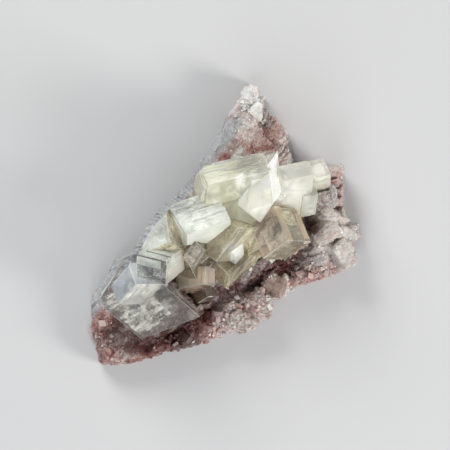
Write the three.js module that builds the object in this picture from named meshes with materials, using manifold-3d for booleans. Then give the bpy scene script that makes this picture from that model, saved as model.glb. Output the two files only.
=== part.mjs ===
// Calcite specimen: a wedge of pinkish, crystal-coated host rock that carries a spray of clear, pale
// yellow calcite rhombs. It lies on its flat-cut back. Millimetres, +Z up, X and Y across the back,
// origin under the middle of the outline.
import * as THREE from 'three';
import { ConvexGeometry } from 'three/addons/geometries/ConvexGeometry.js';
import { mergeVertices } from 'three/addons/utils/BufferGeometryUtils.js';
import Module from 'manifold-3d';

const wasm = await Module();
wasm.setup();

// ---- driving dimensions --------------------------------------------------------------------------

const GAP = 0.3;                 // clearance between a crystal and the socket it grows from
const ROOT = 5;                  // height at which every large crystal ends inside the rock
const POLAR_ANGLE = 101.9;       // degrees between two edges at the blunt corner of a calcite rhomb

const ROCK_CORE = 15;            // height of the host rock in its middle
const ROCK_RIM = 8.5;            // height of its rounded rim
const BREAK_RIM = 12.5;          // height of the rim along the steep broken side
const BREAK_INSET = 3;           // how far the broken side leans in from the back to that rim
const ROUND_INSET = 2.6;         // how far the rounded rim pulls in
const SPOKES = 88;               // facets round the rock
const TOP_RINGS = 9;             // facet rings from the middle to the rim
const SIDE_RINGS = 4;            // facet rings down the side

// The broken side also cut off the crystals behind it: outward direction and distance at the back.
const BREAK_OUT = new THREE.Vector3(-0.799, 0.601, 0.105);
const BREAK_FROM = 18.7;
const BREAK_START = 82;          // compass angles, in degrees, between which the side is broken
const BREAK_END = 206;

// The rock stands highest in a bank along the broken side, under the crystals.
const BANK_HEIGHT = 6;
const BANK_OUT = [2, 10];        // distances towards the broken side over which it rises
const BANK_FROM = [-26, -18];    // places along the broken side where it starts
const BANK_TO = [20, 28];        // and where it ends

// A crevice runs in front of the large crystals.
const CREVICE = [[-16, -33], [-4, -24.5], [7, -18], [19, -13], [27.5, -4], [26, 1]];
const CREVICE_DEPTH = 3.2;
const CREVICE_WIDTH = 2.6;

const DRUSE_PITCH = 4.5;         // spacing of the small crystals that coat the rock
const DRUSE_SIZE = 2.9;          // edge of a middling one
const DRUSE_RIM = 0.96;          // share of the way to the rim that the coat reaches
const BREAK_MARGIN = 0.25;       // how much sooner it stops on the broken side

// Outline of the back, anticlockwise from the summit.
const OUTLINE = [
  [8, 42.4], [6, 40.5], [3.5, 36], [0.5, 32.5], [-1.5, 27], [-4.5, 22.5], [-7, 19], [-9.5, 14],
  [-12, 11], [-16, 7], [-19.5, 4.5], [-23, -1], [-25.5, -4.5], [-28, -9], [-33, -10.5], [-36, -16.5],
  [-40, -21], [-41, -24], [-40, -28.5], [-40.5, -32], [-39, -36], [-39, -39.5], [-37.5, -42],
  [-33.5, -42.5], [-28.5, -42], [-22.5, -40], [-17, -38], [-11, -37], [-5, -34.5], [0, -33],
  [9, -31], [10, -28], [11, -24.5], [12, -22], [16.5, -22], [20, -19.5], [25, -17.5], [31.5, -16],
  [36.5, -12.5], [38.5, -9], [39, -5], [41, -3.5], [41, -1.5], [39.5, 0], [37.5, 0.5], [35.5, 2.5],
  [36, 6], [35.5, 10.5], [36, 15.5], [35, 17.5], [31, 17.5], [25, 17], [20.5, 19], [20, 22],
  [18.5, 24], [19.5, 25.5], [19, 28.5], [18, 29], [15.5, 32], [13, 34.5], [11.5, 36], [12, 39],
  [11, 39.5], [10, 41],
];

// The large rhombs. at: centre. edges: the three edge lengths. lean: how far the three-fold axis
// leans from upright, heading: the compass angle it leans towards, spin: turn about that axis.
const RHOMBS = {
  shelf:      { at: [-23.5, -22, 13], edges: [19.5, 19.5, 17], lean: 90, heading: -96, spin: 14 },
  shelf_cap:  { at: [-25.5, -17.5, 26.5], edges: [10.5, 7, 10], lean: 14, heading: -94, spin: -3 },
  west:       { at: [-18.5, -10.5, 24], edges: [9, 7, 18.5], lean: 38, heading: 36, spin: 31 },
  west_step:  { at: [-18.5, -3.5, 22], edges: [11, 9, 12], lean: 30, heading: -20, spin: 20 },
  white:      { at: [-7.5, 1, 23], edges: [14, 11, 9], lean: 33, heading: -131, spin: 57,
                blunt: { out: [0.1, -1, 0], from: 4.9 } },
  crown_left: { at: [1.6, 13.1, 30.5], edges: [17, 6, 12], lean: 34, heading: -135, spin: 53 },
  crown_end:  { at: [-5, 11.5, 27.5], edges: [6, 7, 12], lean: 38, heading: -140, spin: 50 },
  crown:      { at: [11.4, 13.2, 28.6], edges: [12, 9, 10.5], lean: 69, heading: 162, spin: 1 },
  tooth:      { at: [9, 7.3, 26.8], edges: [4.5, 10, 7], lean: 62, heading: -12, spin: -55 },
  crown_root: { at: [4, 7, 16.5], edges: [12, 13, 12], lean: 40, heading: 70, spin: 25 },
  east:       { at: [20.2, 10.5, 22], edges: [9.5, 5, 20], lean: 34, heading: -135, spin: 53 },
  east_step:  { at: [24.5, 7.4, 18.4], edges: [4.5, 4, 11], lean: 34, heading: -135, spin: 53 },
  east_root:  { at: [14.5, 10, 19.5], edges: [8, 8, 12], lean: 50, heading: -60, spin: 10 },
  southeast:  { at: [16.5, -2.5, 20.5], edges: [11, 9.5, 11], lean: 26, heading: -34, spin: 52 },
  southeast_root: { at: [15, -3, 14.5], edges: [7.5, 13.5, 17], lean: 41, heading: -24, spin: 33 },
  middle:     { at: [-0.5, -2.5, 18.5], edges: [12.5, 17, 10.5], lean: 77, heading: 119, spin: -9 },
  grey:       { at: [-6, -7.5, 18.5], edges: [4.5, 6.5, 13.5], lean: 36, heading: -8, spin: 47 },
  pale:       { at: [2.5, -8, 22.5], edges: [4, 4, 5], lean: 20, heading: -60, spin: 10 },
  west_root:  { at: [-11, -8.5, 15], edges: [10, 9, 11], lean: 25, heading: 160, spin: 40 },
  northeast:  { at: [27.8, 14.7, 17.8], edges: [5, 6, 8], lean: 34, heading: -135, spin: 53 },
  south:      { at: [3.5, -10, 14.5], edges: [6, 10, 15.5], lean: 69, heading: 151, spin: -42 },
  tan:        { at: [-9.5, -16.5, 16], edges: [3.5, 5.5, 14], lean: 27, heading: -109, spin: -14 },
  low:        { at: [-7, -20, 10.5], edges: [3, 6.5, 8], lean: 30, heading: -100, spin: 0 },
  rim:        { at: [15.3, -18.3, 9.5], edges: [4.5, 5, 6.5], lean: 35, heading: -60, spin: 20 },
};

// Which rhombs have grown into one another, and so are one solid each.
const PIECES = {
  main_crystal_cluster: ['middle', 'white', 'crown', 'crown_left', 'crown_end', 'tooth', 'crown_root',
    'west', 'west_step', 'west_root', 'east', 'east_step', 'east_root', 'southeast',
    'southeast_root', 'grey', 'pale'],
  southwest_crystal_pair: ['shelf', 'shelf_cap'],
  northeast_crystal: ['northeast'],
  south_crystal: ['south'],
  tan_crystal: ['tan'],
  low_crystal: ['low'],
  rim_crystal: ['rim'],
};

// Lumps, ledges and a horn that belong to the rock: centre, half sizes and turns in degrees.
const LUMPS = [
  { at: [34.8, -1.5, 9.5], half: [6, 2.5, 3.6], turn: [0, 8, -8] },      // horn on the right
  { at: [30.5, -2, 11], half: [4.5, 3.6, 3.5], turn: [0, 0, 30] },       // its foot
  { at: [35, -8.5, 8], half: [4.6, 5, 4.8], turn: [10, 0, 20] },         // white knob below it
  { at: [29, -6, 9.5], half: [3.6, 3, 3.5], turn: [40, 0, 60] },         // cream lump beside the horn
  { at: [9.5, -23, 8.5], half: [4.6, 5, 4.6], turn: [12, 0, 15] },       // pink lump on the lower rim
  { at: [4.3, -28.3, 7.5], half: [4.8, 3.4, 4.2], turn: [0, 10, -15] },    // grey lump next to it
  { at: [-7.5, -31, 7.5], half: [4, 3.2, 4], turn: [0, 0, 35] },         // grey lump on the lower rim
  { at: [-20, -36, 6.5], half: [4.5, 2.8, 4], turn: [0, 0, 15] },        // low lump farther left
  { at: [13.5, -14.8, 8], half: [2.2, 2.4, 4], turn: [20, 0, 30] },      // grey quartz in the crevice
  { at: [29.6, 9, 12.2], half: [4.6, 4.6, 5.5], turn: [0, 15, 10] },     // grey quartz on the right
  { at: [32, 2.4, 11.2], half: [5.5, 2.6, 3.6], turn: [0, 12, -16] },    // ridge above the cavity
  { at: [15, 27, 7], half: [3.8, 3.2, 4.5], turn: [0, 0, 40] },          // nub beside the summit
  { at: [9, 34, 8], half: [3.2, 2.6, 4], turn: [0, 20, 60] },            // step below the summit
  { at: [7.5, 38.5, 6.5], half: [3, 3.8, 5], turn: [0, 0, 0] },          // summit
  { at: [-33.5, -36, 6], half: [4.4, 4, 4.5], turn: [0, 0, 25] },        // lower left corner
  { at: [-28, -37, 6], half: [4, 3, 4], turn: [30, 0, 70] },             // lump beside that corner
];
const LEDGES = {
  count: 5, at: [32.2, 15.6, 9.5], step: [0.1, -2.9, -0.3], size: [6, 2.2, 5], turn: [8, -12, 6], uneven: 1.6,
};

// ---- helpers -------------------------------------------------------------------------------------

const rad = THREE.MathUtils.degToRad;
const { smoothstep } = THREE.MathUtils;

/** Repeatable scatter between 0 and 1 for a whole number. */
function scatter(n) {
  const s = Math.sin(n * 127.1 + 311.7) * 43758.5453;
  return s - Math.floor(s);
}

/** A closed three.js geometry as a solid that can be joined and cut. */
function solid(geometry) {
  const bare = geometry.index ? geometry.clone() : geometry;
  bare.deleteAttribute('normal');
  bare.deleteAttribute('uv');
  const merged = mergeVertices(bare, 1e-4);
  return new wasm.Manifold(new wasm.Mesh({
    numProp: 3,
    vertProperties: new Float32Array(merged.attributes.position.array),
    triVerts: new Uint32Array(merged.index.array),
  }));
}

/** The solid as a three.js geometry, flat shaded. */
function geometryOf(body) {
  const mesh = body.getMesh();
  const geometry = new THREE.BufferGeometry();
  geometry.setAttribute('position', new THREE.BufferAttribute(mesh.vertProperties, 3));
  geometry.setIndex(new THREE.BufferAttribute(mesh.triVerts, 1));
  const flat = geometry.toNonIndexed();
  flat.computeVertexNormals();
  return flat;
}

/** Everything beyond a plane, as a large block whose near face lies on it. */
function beyond(out, from) {
  const size = 240;
  const normal = out.clone().normalize();
  const block = new THREE.BoxGeometry(size, size, size);
  block.translate(0, 0, size / 2 + from / out.length());
  block.applyQuaternion(new THREE.Quaternion().setFromUnitVectors(new THREE.Vector3(0, 0, 1), normal));
  return solid(block);
}

/** The largest of a solid's separate bodies. */
function mainBody(body) {
  return body.decompose().sort((a, b) => b.volume() - a.volume())[0];
}

// ---- calcite rhombs ------------------------------------------------------------------------------

// From the blunt corner the three edges drop at the same angle to the three-fold axis.
const edgeDrop = Math.asin(Math.sqrt((1 - Math.cos(rad(POLAR_ANGLE))) / 1.5));
const EDGES = [90, 210, 330].map((turn) => new THREE.Vector3(
  Math.sin(edgeDrop) * Math.cos(rad(turn)),
  Math.sin(edgeDrop) * Math.sin(rad(turn)),
  -Math.cos(edgeDrop),
));
const faceOut = new THREE.Vector3().crossVectors(EDGES[1], EDGES[2]).normalize();
const FACE_SPACING = Math.abs(faceOut.dot(EDGES[0]));   // distance between faces of a rhomb of edge 1

/** Corners of a rhomb whose six faces are moved out by grow. */
function rhombCorners({ at, edges, lean, heading, spin }, grow = 0) {
  const turn = new THREE.Matrix4().makeRotationZ(rad(heading))
    .multiply(new THREE.Matrix4().makeRotationY(rad(lean)))
    .multiply(new THREE.Matrix4().makeRotationZ(rad(spin)));
  const half = EDGES.map((edge, i) => edge.clone().applyMatrix4(turn)
    .multiplyScalar(edges[i] / 2 + grow / FACE_SPACING));
  const corners = [];
  for (const a of [-1, 1]) {
    for (const b of [-1, 1]) {
      for (const c of [-1, 1]) {
        corners.push(new THREE.Vector3(...at)
          .addScaledVector(half[0], a).addScaledVector(half[1], b).addScaledVector(half[2], c));
      }
    }
  }
  return corners;
}

/** One large crystal, cut by the broken side, by its own blunt face and level at its root. */
function crystal(shape, grow = 0) {
  let body = solid(new ConvexGeometry(rhombCorners(shape, grow)))
    .subtract(beyond(BREAK_OUT, BREAK_FROM + grow))
    .subtract(beyond(new THREE.Vector3(0, 0, -1), grow - ROOT));
  if (shape.blunt) {
    body = body.subtract(beyond(new THREE.Vector3(...shape.blunt.out), shape.blunt.from + grow));
  }
  return body;
}

/** The rhombs of one piece joined, with all their faces moved out by grow. */
function joined(names, grow = 0) {
  return names.map((name) => crystal(RHOMBS[name], grow)).reduce((all, next) => all.add(next));
}

// ---- host rock -----------------------------------------------------------------------------------

/** Distance from the origin to the outline along a compass angle. */
function reach(angle) {
  const ray = new THREE.Vector2(Math.cos(angle), Math.sin(angle));
  for (let i = 0; i < OUTLINE.length; i += 1) {
    const a = new THREE.Vector2(...OUTLINE[i]);
    const b = new THREE.Vector2(...OUTLINE[(i + 1) % OUTLINE.length]);
    const turnA = ray.cross(a);
    const turnB = ray.cross(b);
    if (turnA <= 0 && turnB > 0) {
      return a.lerp(b, turnA / (turnA - turnB)).length();
    }
  }
  throw new Error('the outline has to surround the origin');
}

/** 1 on the broken side of the rock, 0 elsewhere, with a short blend at both ends. */
function broken(angle) {
  const degrees = (THREE.MathUtils.radToDeg(angle) + 360) % 360;
  const blend = 8;
  return smoothstep(degrees, BREAK_START - blend, BREAK_START + blend)
    * (1 - smoothstep(degrees, BREAK_END - blend, BREAK_END + blend));
}

/** Distance from the nearest stretch of the crevice. */
function fromCrevice(x, y) {
  const place = new THREE.Vector3(x, y, 0);
  const nearest = new THREE.Vector3();
  let least = Infinity;
  for (let i = 1; i < CREVICE.length; i += 1) {
    const stretch = new THREE.Line3(
      new THREE.Vector3(...CREVICE[i - 1], 0),
      new THREE.Vector3(...CREVICE[i], 0),
    );
    stretch.closestPointToPoint(place, true, nearest);
    least = Math.min(least, nearest.distanceTo(place));
  }
  return least;
}

/** Height of the rock's top: high in the middle, low at the rim, with broad swells. */
function rockHeight(x, y, share, angle) {
  const rim = THREE.MathUtils.lerp(ROCK_RIM, BREAK_RIM, broken(angle));
  const dome = rim + (ROCK_CORE - rim) * (1 - share ** 2.4);
  const swell = 0.8 * Math.sin(0.31 * x + 0.5) * Math.cos(0.27 * y)
    + 0.5 * Math.sin(0.72 * x - 0.55 * y) + 0.35 * Math.sin(1.3 * y + 0.9 * x);
  const out = BREAK_OUT.x * x + BREAK_OUT.y * y;
  const along = BREAK_OUT.y * x - BREAK_OUT.x * y;
  const bank = BANK_HEIGHT * smoothstep(out, ...BANK_OUT)
    * smoothstep(along, ...BANK_FROM) * (1 - smoothstep(along, ...BANK_TO));
  const crevice = CREVICE_DEPTH * Math.exp(-((fromCrevice(x, y) / CREVICE_WIDTH) ** 2));
  return dome + swell * (1 - 0.5 * share) + bank - crevice;
}

/** The bare rock: rings from the middle to the rim, down the side and in under the flat back. */
function bareRock() {
  const rings = TOP_RINGS + SIDE_RINGS + 1;
  const shell = new THREE.SphereGeometry(1, SPOKES, rings);
  const position = shell.attributes.position;
  for (let ring = 0; ring <= rings; ring += 1) {
    for (let spoke = 0; spoke <= SPOKES; spoke += 1) {
      const turn = spoke % SPOKES;
      const angle = 2 * Math.PI * turn / SPOKES;
      const seed = ring * SPOKES + turn;
      const jag = 0.7 * (scatter(turn) - 0.5);
      const side = broken(angle);
      const edge = reach(angle) + jag;
      const down = THREE.MathUtils.clamp((ring - TOP_RINGS) / SIDE_RINGS, 0, 1);
      const lean = THREE.MathUtils.lerp(ROUND_INSET * (1 - down) ** 3, BREAK_INSET * (1 - down), side);
      const share = Math.min(ring / TOP_RINGS, 1);
      const under = ring === rings ? 0 : 1;
      const rough = ring > 0 && down < 1 ? 0.9 * (scatter(seed) - 0.5) : 0;
      const dent = down > 0 && down < 1 ? 0.9 * scatter(seed + 0.5) : 0;
      const radius = under * share * (edge - lean - dent);
      const x = radius * Math.cos(angle);
      const y = radius * Math.sin(angle);
      const z = (1 - down) * (rockHeight(x, y, share, angle) + rough);
      position.setXYZ(ring * (SPOKES + 1) + spoke, x, y, z);
    }
  }
  return solid(shell);
}

/** A blunt angular block: a twenty-sided ball with its corners moved about. */
function lump({ at, half, turn }, seed) {
  const ball = new THREE.IcosahedronGeometry(1, 0);
  ball.deleteAttribute('normal');
  ball.deleteAttribute('uv');
  const merged = mergeVertices(ball, 1e-4);
  const points = [];
  for (let i = 0; i < merged.attributes.position.count; i += 1) {
    const point = new THREE.Vector3().fromBufferAttribute(merged.attributes.position, i);
    points.push(point.multiplyScalar(0.9 + 0.35 * scatter(seed * 61 + i))
      .multiply(new THREE.Vector3(...half))
      .applyEuler(new THREE.Euler(...turn.map(rad)))
      .add(new THREE.Vector3(...at)));
  }
  return solid(new ConvexGeometry(points));
}

/** The stacked plates at the right-hand edge. */
function ledges() {
  const plates = [];
  for (let i = 0; i < LEDGES.count; i += 1) {
    const plate = new THREE.BoxGeometry(...LEDGES.size);
    plate.rotateX(rad(LEDGES.turn[0] + 14 * scatter(i)));
    plate.rotateY(rad(LEDGES.turn[1]));
    plate.rotateZ(rad(LEDGES.turn[2] + 12 * scatter(i + 0.5)));
    plate.translate(...LEDGES.at.map((start, axis) => (
      start + i * LEDGES.step[axis] + LEDGES.uneven * (scatter(i + axis / 3) - 0.5))));
    plates.push(solid(plate));
  }
  return plates;
}

/** Whether a place on the rock is hidden below one of the large crystals. */
function covered(x, y) {
  return Object.values(RHOMBS).some(({ at, edges }) => {
    const size = (edges[0] + edges[1] + edges[2]) / 3;
    return Math.hypot(x - at[0], y - at[1]) < 0.42 * size;
  });
}

/** The coat of small rhombs over the top of the rock, each sunk to about its middle. */
function druse() {
  const coat = [];
  const across = Math.ceil(90 / DRUSE_PITCH);
  for (let row = 0; row < across; row += 1) {
    for (let column = 0; column < across; column += 1) {
      const seed = row * across + column;
      const x = -45 + DRUSE_PITCH * (column + 0.5 * (row % 2) + 0.6 * (scatter(seed) - 0.5));
      const y = -45 + DRUSE_PITCH * (row + 0.6 * (scatter(seed + 0.3) - 0.5));
      const angle = Math.atan2(y, x);
      const share = Math.hypot(x, y) / reach(angle);
      const limit = DRUSE_RIM - BREAK_MARGIN * broken(angle);
      if (share < limit && !covered(x, y)) {
        const edge = DRUSE_SIZE * (0.7 + 0.7 * scatter(seed + 0.7));
        coat.push(solid(new ConvexGeometry(rhombCorners({
          at: [x, y, rockHeight(x, y, share, angle) + 0.1 * edge],
          edges: [edge, edge * (0.8 + 0.5 * scatter(seed + 0.1)), edge],
          lean: 70 * scatter(seed + 0.9),
          heading: 360 * scatter(seed + 0.2),
          spin: 120 * scatter(seed + 0.4),
        }))));
      }
    }
  }
  return coat;
}

/** The host rock with its lumps and its coat, and a socket for each of the large crystals. */
function hostRock() {
  const parts = [...LUMPS.map(lump), ...ledges(), ...druse()];
  let rock = wasm.Manifold.union([bareRock(), ...parts]);
  rock = rock.subtract(beyond(new THREE.Vector3(0, 0, -1), 0));
  for (const names of Object.values(PIECES)) {
    rock = rock.subtract(joined(names, GAP));
  }
  return mainBody(rock);
}

// ---- assembly ------------------------------------------------------------------------------------

const ROCK_FINISH = new THREE.MeshStandardMaterial({ color: 0xb08c88, roughness: 0.75, metalness: 0 });
const CALCITE_FINISH = new THREE.MeshStandardMaterial({ color: 0xe6e4cc, roughness: 0.15, metalness: 0 });
const TAN_FINISH = new THREE.MeshStandardMaterial({ color: 0xcdb497, roughness: 0.2, metalness: 0 });

/** A named mesh of a solid in a finish. */
function piece(name, body, finish) {
  const mesh = new THREE.Mesh(geometryOf(body), finish);
  mesh.name = name;
  return mesh;
}

const specimen = new THREE.Group();
specimen.add(piece('host_rock', hostRock(), ROCK_FINISH));
const placed = [];
for (const [name, names] of Object.entries(PIECES)) {
  let body = joined(names);
  for (const neighbour of placed) {
    body = body.subtract(joined(neighbour, GAP));
  }
  placed.push(names);
  specimen.add(piece(name, mainBody(body), name === 'tan_crystal' ? TAN_FINISH : CALCITE_FINISH));
}

export default specimen;
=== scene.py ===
"""Looks of a calcite specimen: clear, pale yellow rhombs on a wedge of sugary pink host rock.

The crystals are built from their three edge directions, with growth plates stepped over their faces.
The rock is a closed surface over its outline, coated with thousands of small crystals.
Shapes are worked out in millimetres and written to the meshes in metres.
"""
from __future__ import annotations

import itertools
import logging
from collections.abc import Callable
from dataclasses import dataclass, field
from enum import Enum

import bpy
import numpy as np
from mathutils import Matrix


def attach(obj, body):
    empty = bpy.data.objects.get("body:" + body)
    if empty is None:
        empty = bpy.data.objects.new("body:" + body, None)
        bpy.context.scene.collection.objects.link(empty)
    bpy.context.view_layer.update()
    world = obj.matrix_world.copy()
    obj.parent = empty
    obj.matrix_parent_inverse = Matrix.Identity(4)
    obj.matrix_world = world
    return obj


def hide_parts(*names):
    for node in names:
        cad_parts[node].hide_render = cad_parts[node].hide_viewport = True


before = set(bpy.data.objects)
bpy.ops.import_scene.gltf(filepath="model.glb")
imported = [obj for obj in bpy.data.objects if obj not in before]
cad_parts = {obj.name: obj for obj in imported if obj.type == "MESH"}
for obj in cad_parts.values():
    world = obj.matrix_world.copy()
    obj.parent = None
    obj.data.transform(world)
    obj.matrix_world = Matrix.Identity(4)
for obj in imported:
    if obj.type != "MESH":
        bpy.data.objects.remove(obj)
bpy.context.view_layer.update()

LOG = logging.getLogger("calcite")
MM = 0.001
BODY = "root"
Triple = tuple[float, float, float]
Route = tuple[tuple[float, float], ...]


# ---- numbers over whole arrays --------------------------------------------------------------------


# Callers of scatter add uneven steps to a seed, which only keep their numbers apart.
WAVE, PHASE, MULTIPLE = 127.1, 311.7, 43758.5453  # of the sine that scatters a number
CELL_WEIGHTS, CELL_SCALE = np.array([1.0, 57.31, 113.77]), 0.137  # of the sum that numbers a cell


def scatter(n: np.ndarray | float) -> np.ndarray:
    """Repeatable scatter between 0 and 1: the fraction of a large multiple of a sine of the number."""
    s = np.sin(np.asarray(n, float) * WAVE + PHASE) * MULTIPLE
    return s - np.floor(s)


def scatter_cells(cells: np.ndarray, seed: float) -> np.ndarray:
    """Scatter between 0 and 1 for whole-number cells: one weighted sum of their coordinates, scattered."""
    return scatter(cells @ CELL_WEIGHTS * CELL_SCALE + seed)


def smoothstep(x: np.ndarray, low: float, high: float) -> np.ndarray:
    """0 below low, 1 above high and the cubic 3t^2 - 2t^3 between them."""
    t = np.clip((x - low) / (high - low), 0, 1)
    return t * t * (3 - 2 * t)


def noise(points: np.ndarray, size: float, seed: float) -> np.ndarray:
    """Smooth noise from -1 to 1: scatter at the corners of cubes of one size, blended by smooth weights.

    Args:
        points: places, last axis x, y, z.
        size: edge of the cubes, in the unit of the points.
        seed: number that sets which noise it is.

    Returns:
        One value for each point.
    """
    p = points / size
    base = np.floor(p)
    t = p - base
    t = t * t * (3 - 2 * t)
    total = np.zeros(points.shape[:-1])
    for corner in itertools.product((0, 1), repeat=3):
        c = np.array(corner)
        total += np.prod(np.where(c == 1, t, 1 - t), axis=-1) * scatter_cells(base + c, seed)
    return 2 * total - 1


def rough_noise(points: np.ndarray, size: float, seed: float, octaves: int = 3) -> np.ndarray:
    """Sum of noises, each of half the size and half the strength of the one before."""
    return sum(noise(points, size / 2**i, seed + i) / 2**i for i in range(octaves))


def facets(points: np.ndarray, pitch: float, seed: float) -> np.ndarray:
    """Relief of packed crystal tips, from 0 to 1.

    Each cube of the pitch holds one tip at a scattered place. A tip falls off as the largest of the
    three distances from it along its own turned axes, and the relief is the highest tip anywhere.

    Args:
        points: places, last axis x, y, z.
        pitch: spacing of the tips.
        seed: number that sets which tips they are.

    Returns:
        One height for each point.
    """
    whole_turn, most_tilt, lowest, uneven = 6.28, 1.2, 0.55, 0.45
    base = np.floor(points / pitch)
    best = np.zeros(points.shape[:-1])
    for step in itertools.product((-1, 0, 1), repeat=3):
        cell = base + np.array(step)
        jitter = np.stack([scatter_cells(cell, seed + k) for k in (0.1, 0.2, 0.3)], -1)
        away = points / pitch - cell - jitter
        turn = whole_turn * scatter_cells(cell, seed + 0.4)
        tilt = most_tilt * scatter_cells(cell, seed + 0.5)
        u = np.cos(turn) * away[..., 0] + np.sin(turn) * away[..., 1]
        v = -np.sin(turn) * away[..., 0] + np.cos(turn) * away[..., 1]
        w = np.cos(tilt) * away[..., 2] + np.sin(tilt) * u
        u = np.cos(tilt) * u - np.sin(tilt) * away[..., 2]
        fall = np.maximum(np.maximum(np.abs(u), np.abs(v)), np.abs(w))
        best = np.maximum(best, lowest + uneven * scatter_cells(cell, seed + 0.6) - fall)
    return best


def about(axis: int, angle: np.ndarray | float) -> np.ndarray:
    """Rotation matrices about one axis: the cosine twice on the diagonal, and the sine with both signs.

    Args:
        axis: 0, 1 or 2 for X, Y or Z.
        angle: one angle in degrees, or an array of them.

    Returns:
        The matrices, in the last two axes.
    """
    turn = np.radians(np.asarray(angle, float))
    one, two = (axis + 1) % 3, (axis + 2) % 3
    matrix = np.zeros((*turn.shape, 3, 3))
    matrix[..., axis, axis] = 1
    matrix[..., one, one] = matrix[..., two, two] = np.cos(turn)
    matrix[..., one, two], matrix[..., two, one] = -np.sin(turn), np.sin(turn)
    return matrix


def rotations(lean: np.ndarray | float, heading: np.ndarray | float, spin: np.ndarray | float) -> np.ndarray:
    """Rotation matrices for angles in degrees: spin about Z, then lean about Y, then heading about Z."""
    return about(2, heading) @ about(1, lean) @ about(2, spin)


def unit(v: np.ndarray) -> np.ndarray:
    """Vectors of length 1 in the same directions, last axis x, y, z."""
    return v / np.maximum(np.linalg.norm(v, axis=-1, keepdims=True), 1e-12)


def blend(colour: np.ndarray, share: np.ndarray, other: np.ndarray | Triple) -> np.ndarray:
    """Rows of colour, each moved its share of the way to another colour."""
    return colour + share[:, None] * (np.asarray(other) - colour)


def linear(red: float, green: float, blue: float) -> Triple:
    """Linear colour of a display colour given from 0 to 255."""
    return tuple(np.where(c <= 0.04045, c / 12.92, ((c + 0.055) / 1.055) ** 2.4).item()
                 for c in np.array([red, green, blue]) / 255)


# ---- meshes ---------------------------------------------------------------------------------------


def shell_grid(count: int) -> tuple[np.ndarray, np.ndarray]:
    """Grid over the six sides of a cube with shared edges.

    Args:
        count: grid lines along each edge.

    Returns:
        Whole-number place of each vertex on the three axes, and the quads, facing out.
    """
    ax = np.arange(count)
    i, j, k = np.meshgrid(ax, ax, ax, indexing="ij")
    on = (np.minimum(np.minimum(i, j), k) == 0) | (np.maximum(np.maximum(i, j), k) == count - 1)
    index = np.full((count,) * 3, -1)
    index[on] = np.arange(on.sum())
    quads = []
    for axis, end in itertools.product(range(3), (0, count - 1)):
        side = np.take(index, end, axis=axis)
        quad = np.stack([side[:-1, :-1], side[1:, :-1], side[1:, 1:], side[:-1, 1:]], -1).reshape(-1, 4)
        quads.append(quad[:, ::-1] if (end == 0) != (axis == 1) else quad)
    return np.stack([i[on], j[on], k[on]], 1), np.concatenate(quads)


def rounded_boxes(low: np.ndarray, high: np.ndarray, radius: np.ndarray) -> np.ndarray:
    """Vertices of boxes with rounded edges, four grid lines to an edge.

    A vertex is the nearest point of the box that is smaller by the radius, moved out by the radius
    towards where the sharp box has it.

    Args:
        low, high: opposite corners, one row for each box.
        radius: one for each box.

    Returns:
        Array of box, vertex and axis.
    """
    place, _ = shell_grid(4)
    r = radius[:, None]
    lines = np.stack([low, low + r, high - r, high], 1)
    sharp = np.stack([lines[:, place[:, axis], axis] for axis in range(3)], -1)
    inner = np.clip(sharp, (low + r)[:, None], (high - r)[:, None])
    return inner + r[..., None] * unit(sharp - inner)


def repeated(points: np.ndarray, faces: np.ndarray) -> tuple[np.ndarray, np.ndarray]:
    """Copies of one shape as one list of vertices and one of faces.

    Args:
        points: array of copy, vertex and axis.
        faces: faces of one copy.

    Returns:
        All vertices and all faces.
    """
    copies, count = points.shape[:2]
    offset = (np.arange(copies) * count)[:, None, None]
    return points.reshape(-1, 3), (faces[None] + offset).reshape(-1, faces.shape[1])


def new_mesh(name: str, points: np.ndarray, faces: np.ndarray) -> bpy.types.Mesh:
    """Mesh of vertices and faces.

    Args:
        name: name of the mesh.
        points: vertices in millimetres, one a row.
        faces: triangles or quads, one a row.

    Returns:
        The mesh, in metres.
    """
    mesh = bpy.data.meshes.new(name)
    mesh.from_pydata(points * MM, [], faces)
    mesh.update()
    return mesh


def new_object(mesh: bpy.types.Mesh) -> bpy.types.Object:
    """Object of a mesh with the mesh's name, in the scene.

    Args:
        mesh: its mesh.

    Returns:
        The object.
    """
    thing = bpy.data.objects.new(mesh.name, mesh)
    bpy.context.scene.collection.objects.link(thing)
    return thing


def read_rows(items: bpy.types.bpy_prop_collection, key: str) -> np.ndarray:
    """One vector of each vertex or face of a mesh, one a row.

    Args:
        items: vertices or polygons of the mesh.
        key: name of the vector.

    Returns:
        The vectors.
    """
    flat = np.zeros(len(items) * 3, np.float32)
    items.foreach_get(key, flat)
    return flat.reshape(-1, 3)


def keep(thing: bpy.types.Object, replaced: str | None = None) -> bpy.types.Object:
    """Lets a finished piece ride on the specimen and hides the node it stands for.

    Args:
        thing: the piece.
        replaced: the node that it stands for.

    Returns:
        The piece.
    """
    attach(thing, BODY)
    if replaced:
        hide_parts(replaced)
    LOG.info("%s: %d faces", thing.name, len(thing.data.polygons))
    return thing


# ---- shader building ------------------------------------------------------------------------------


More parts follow.
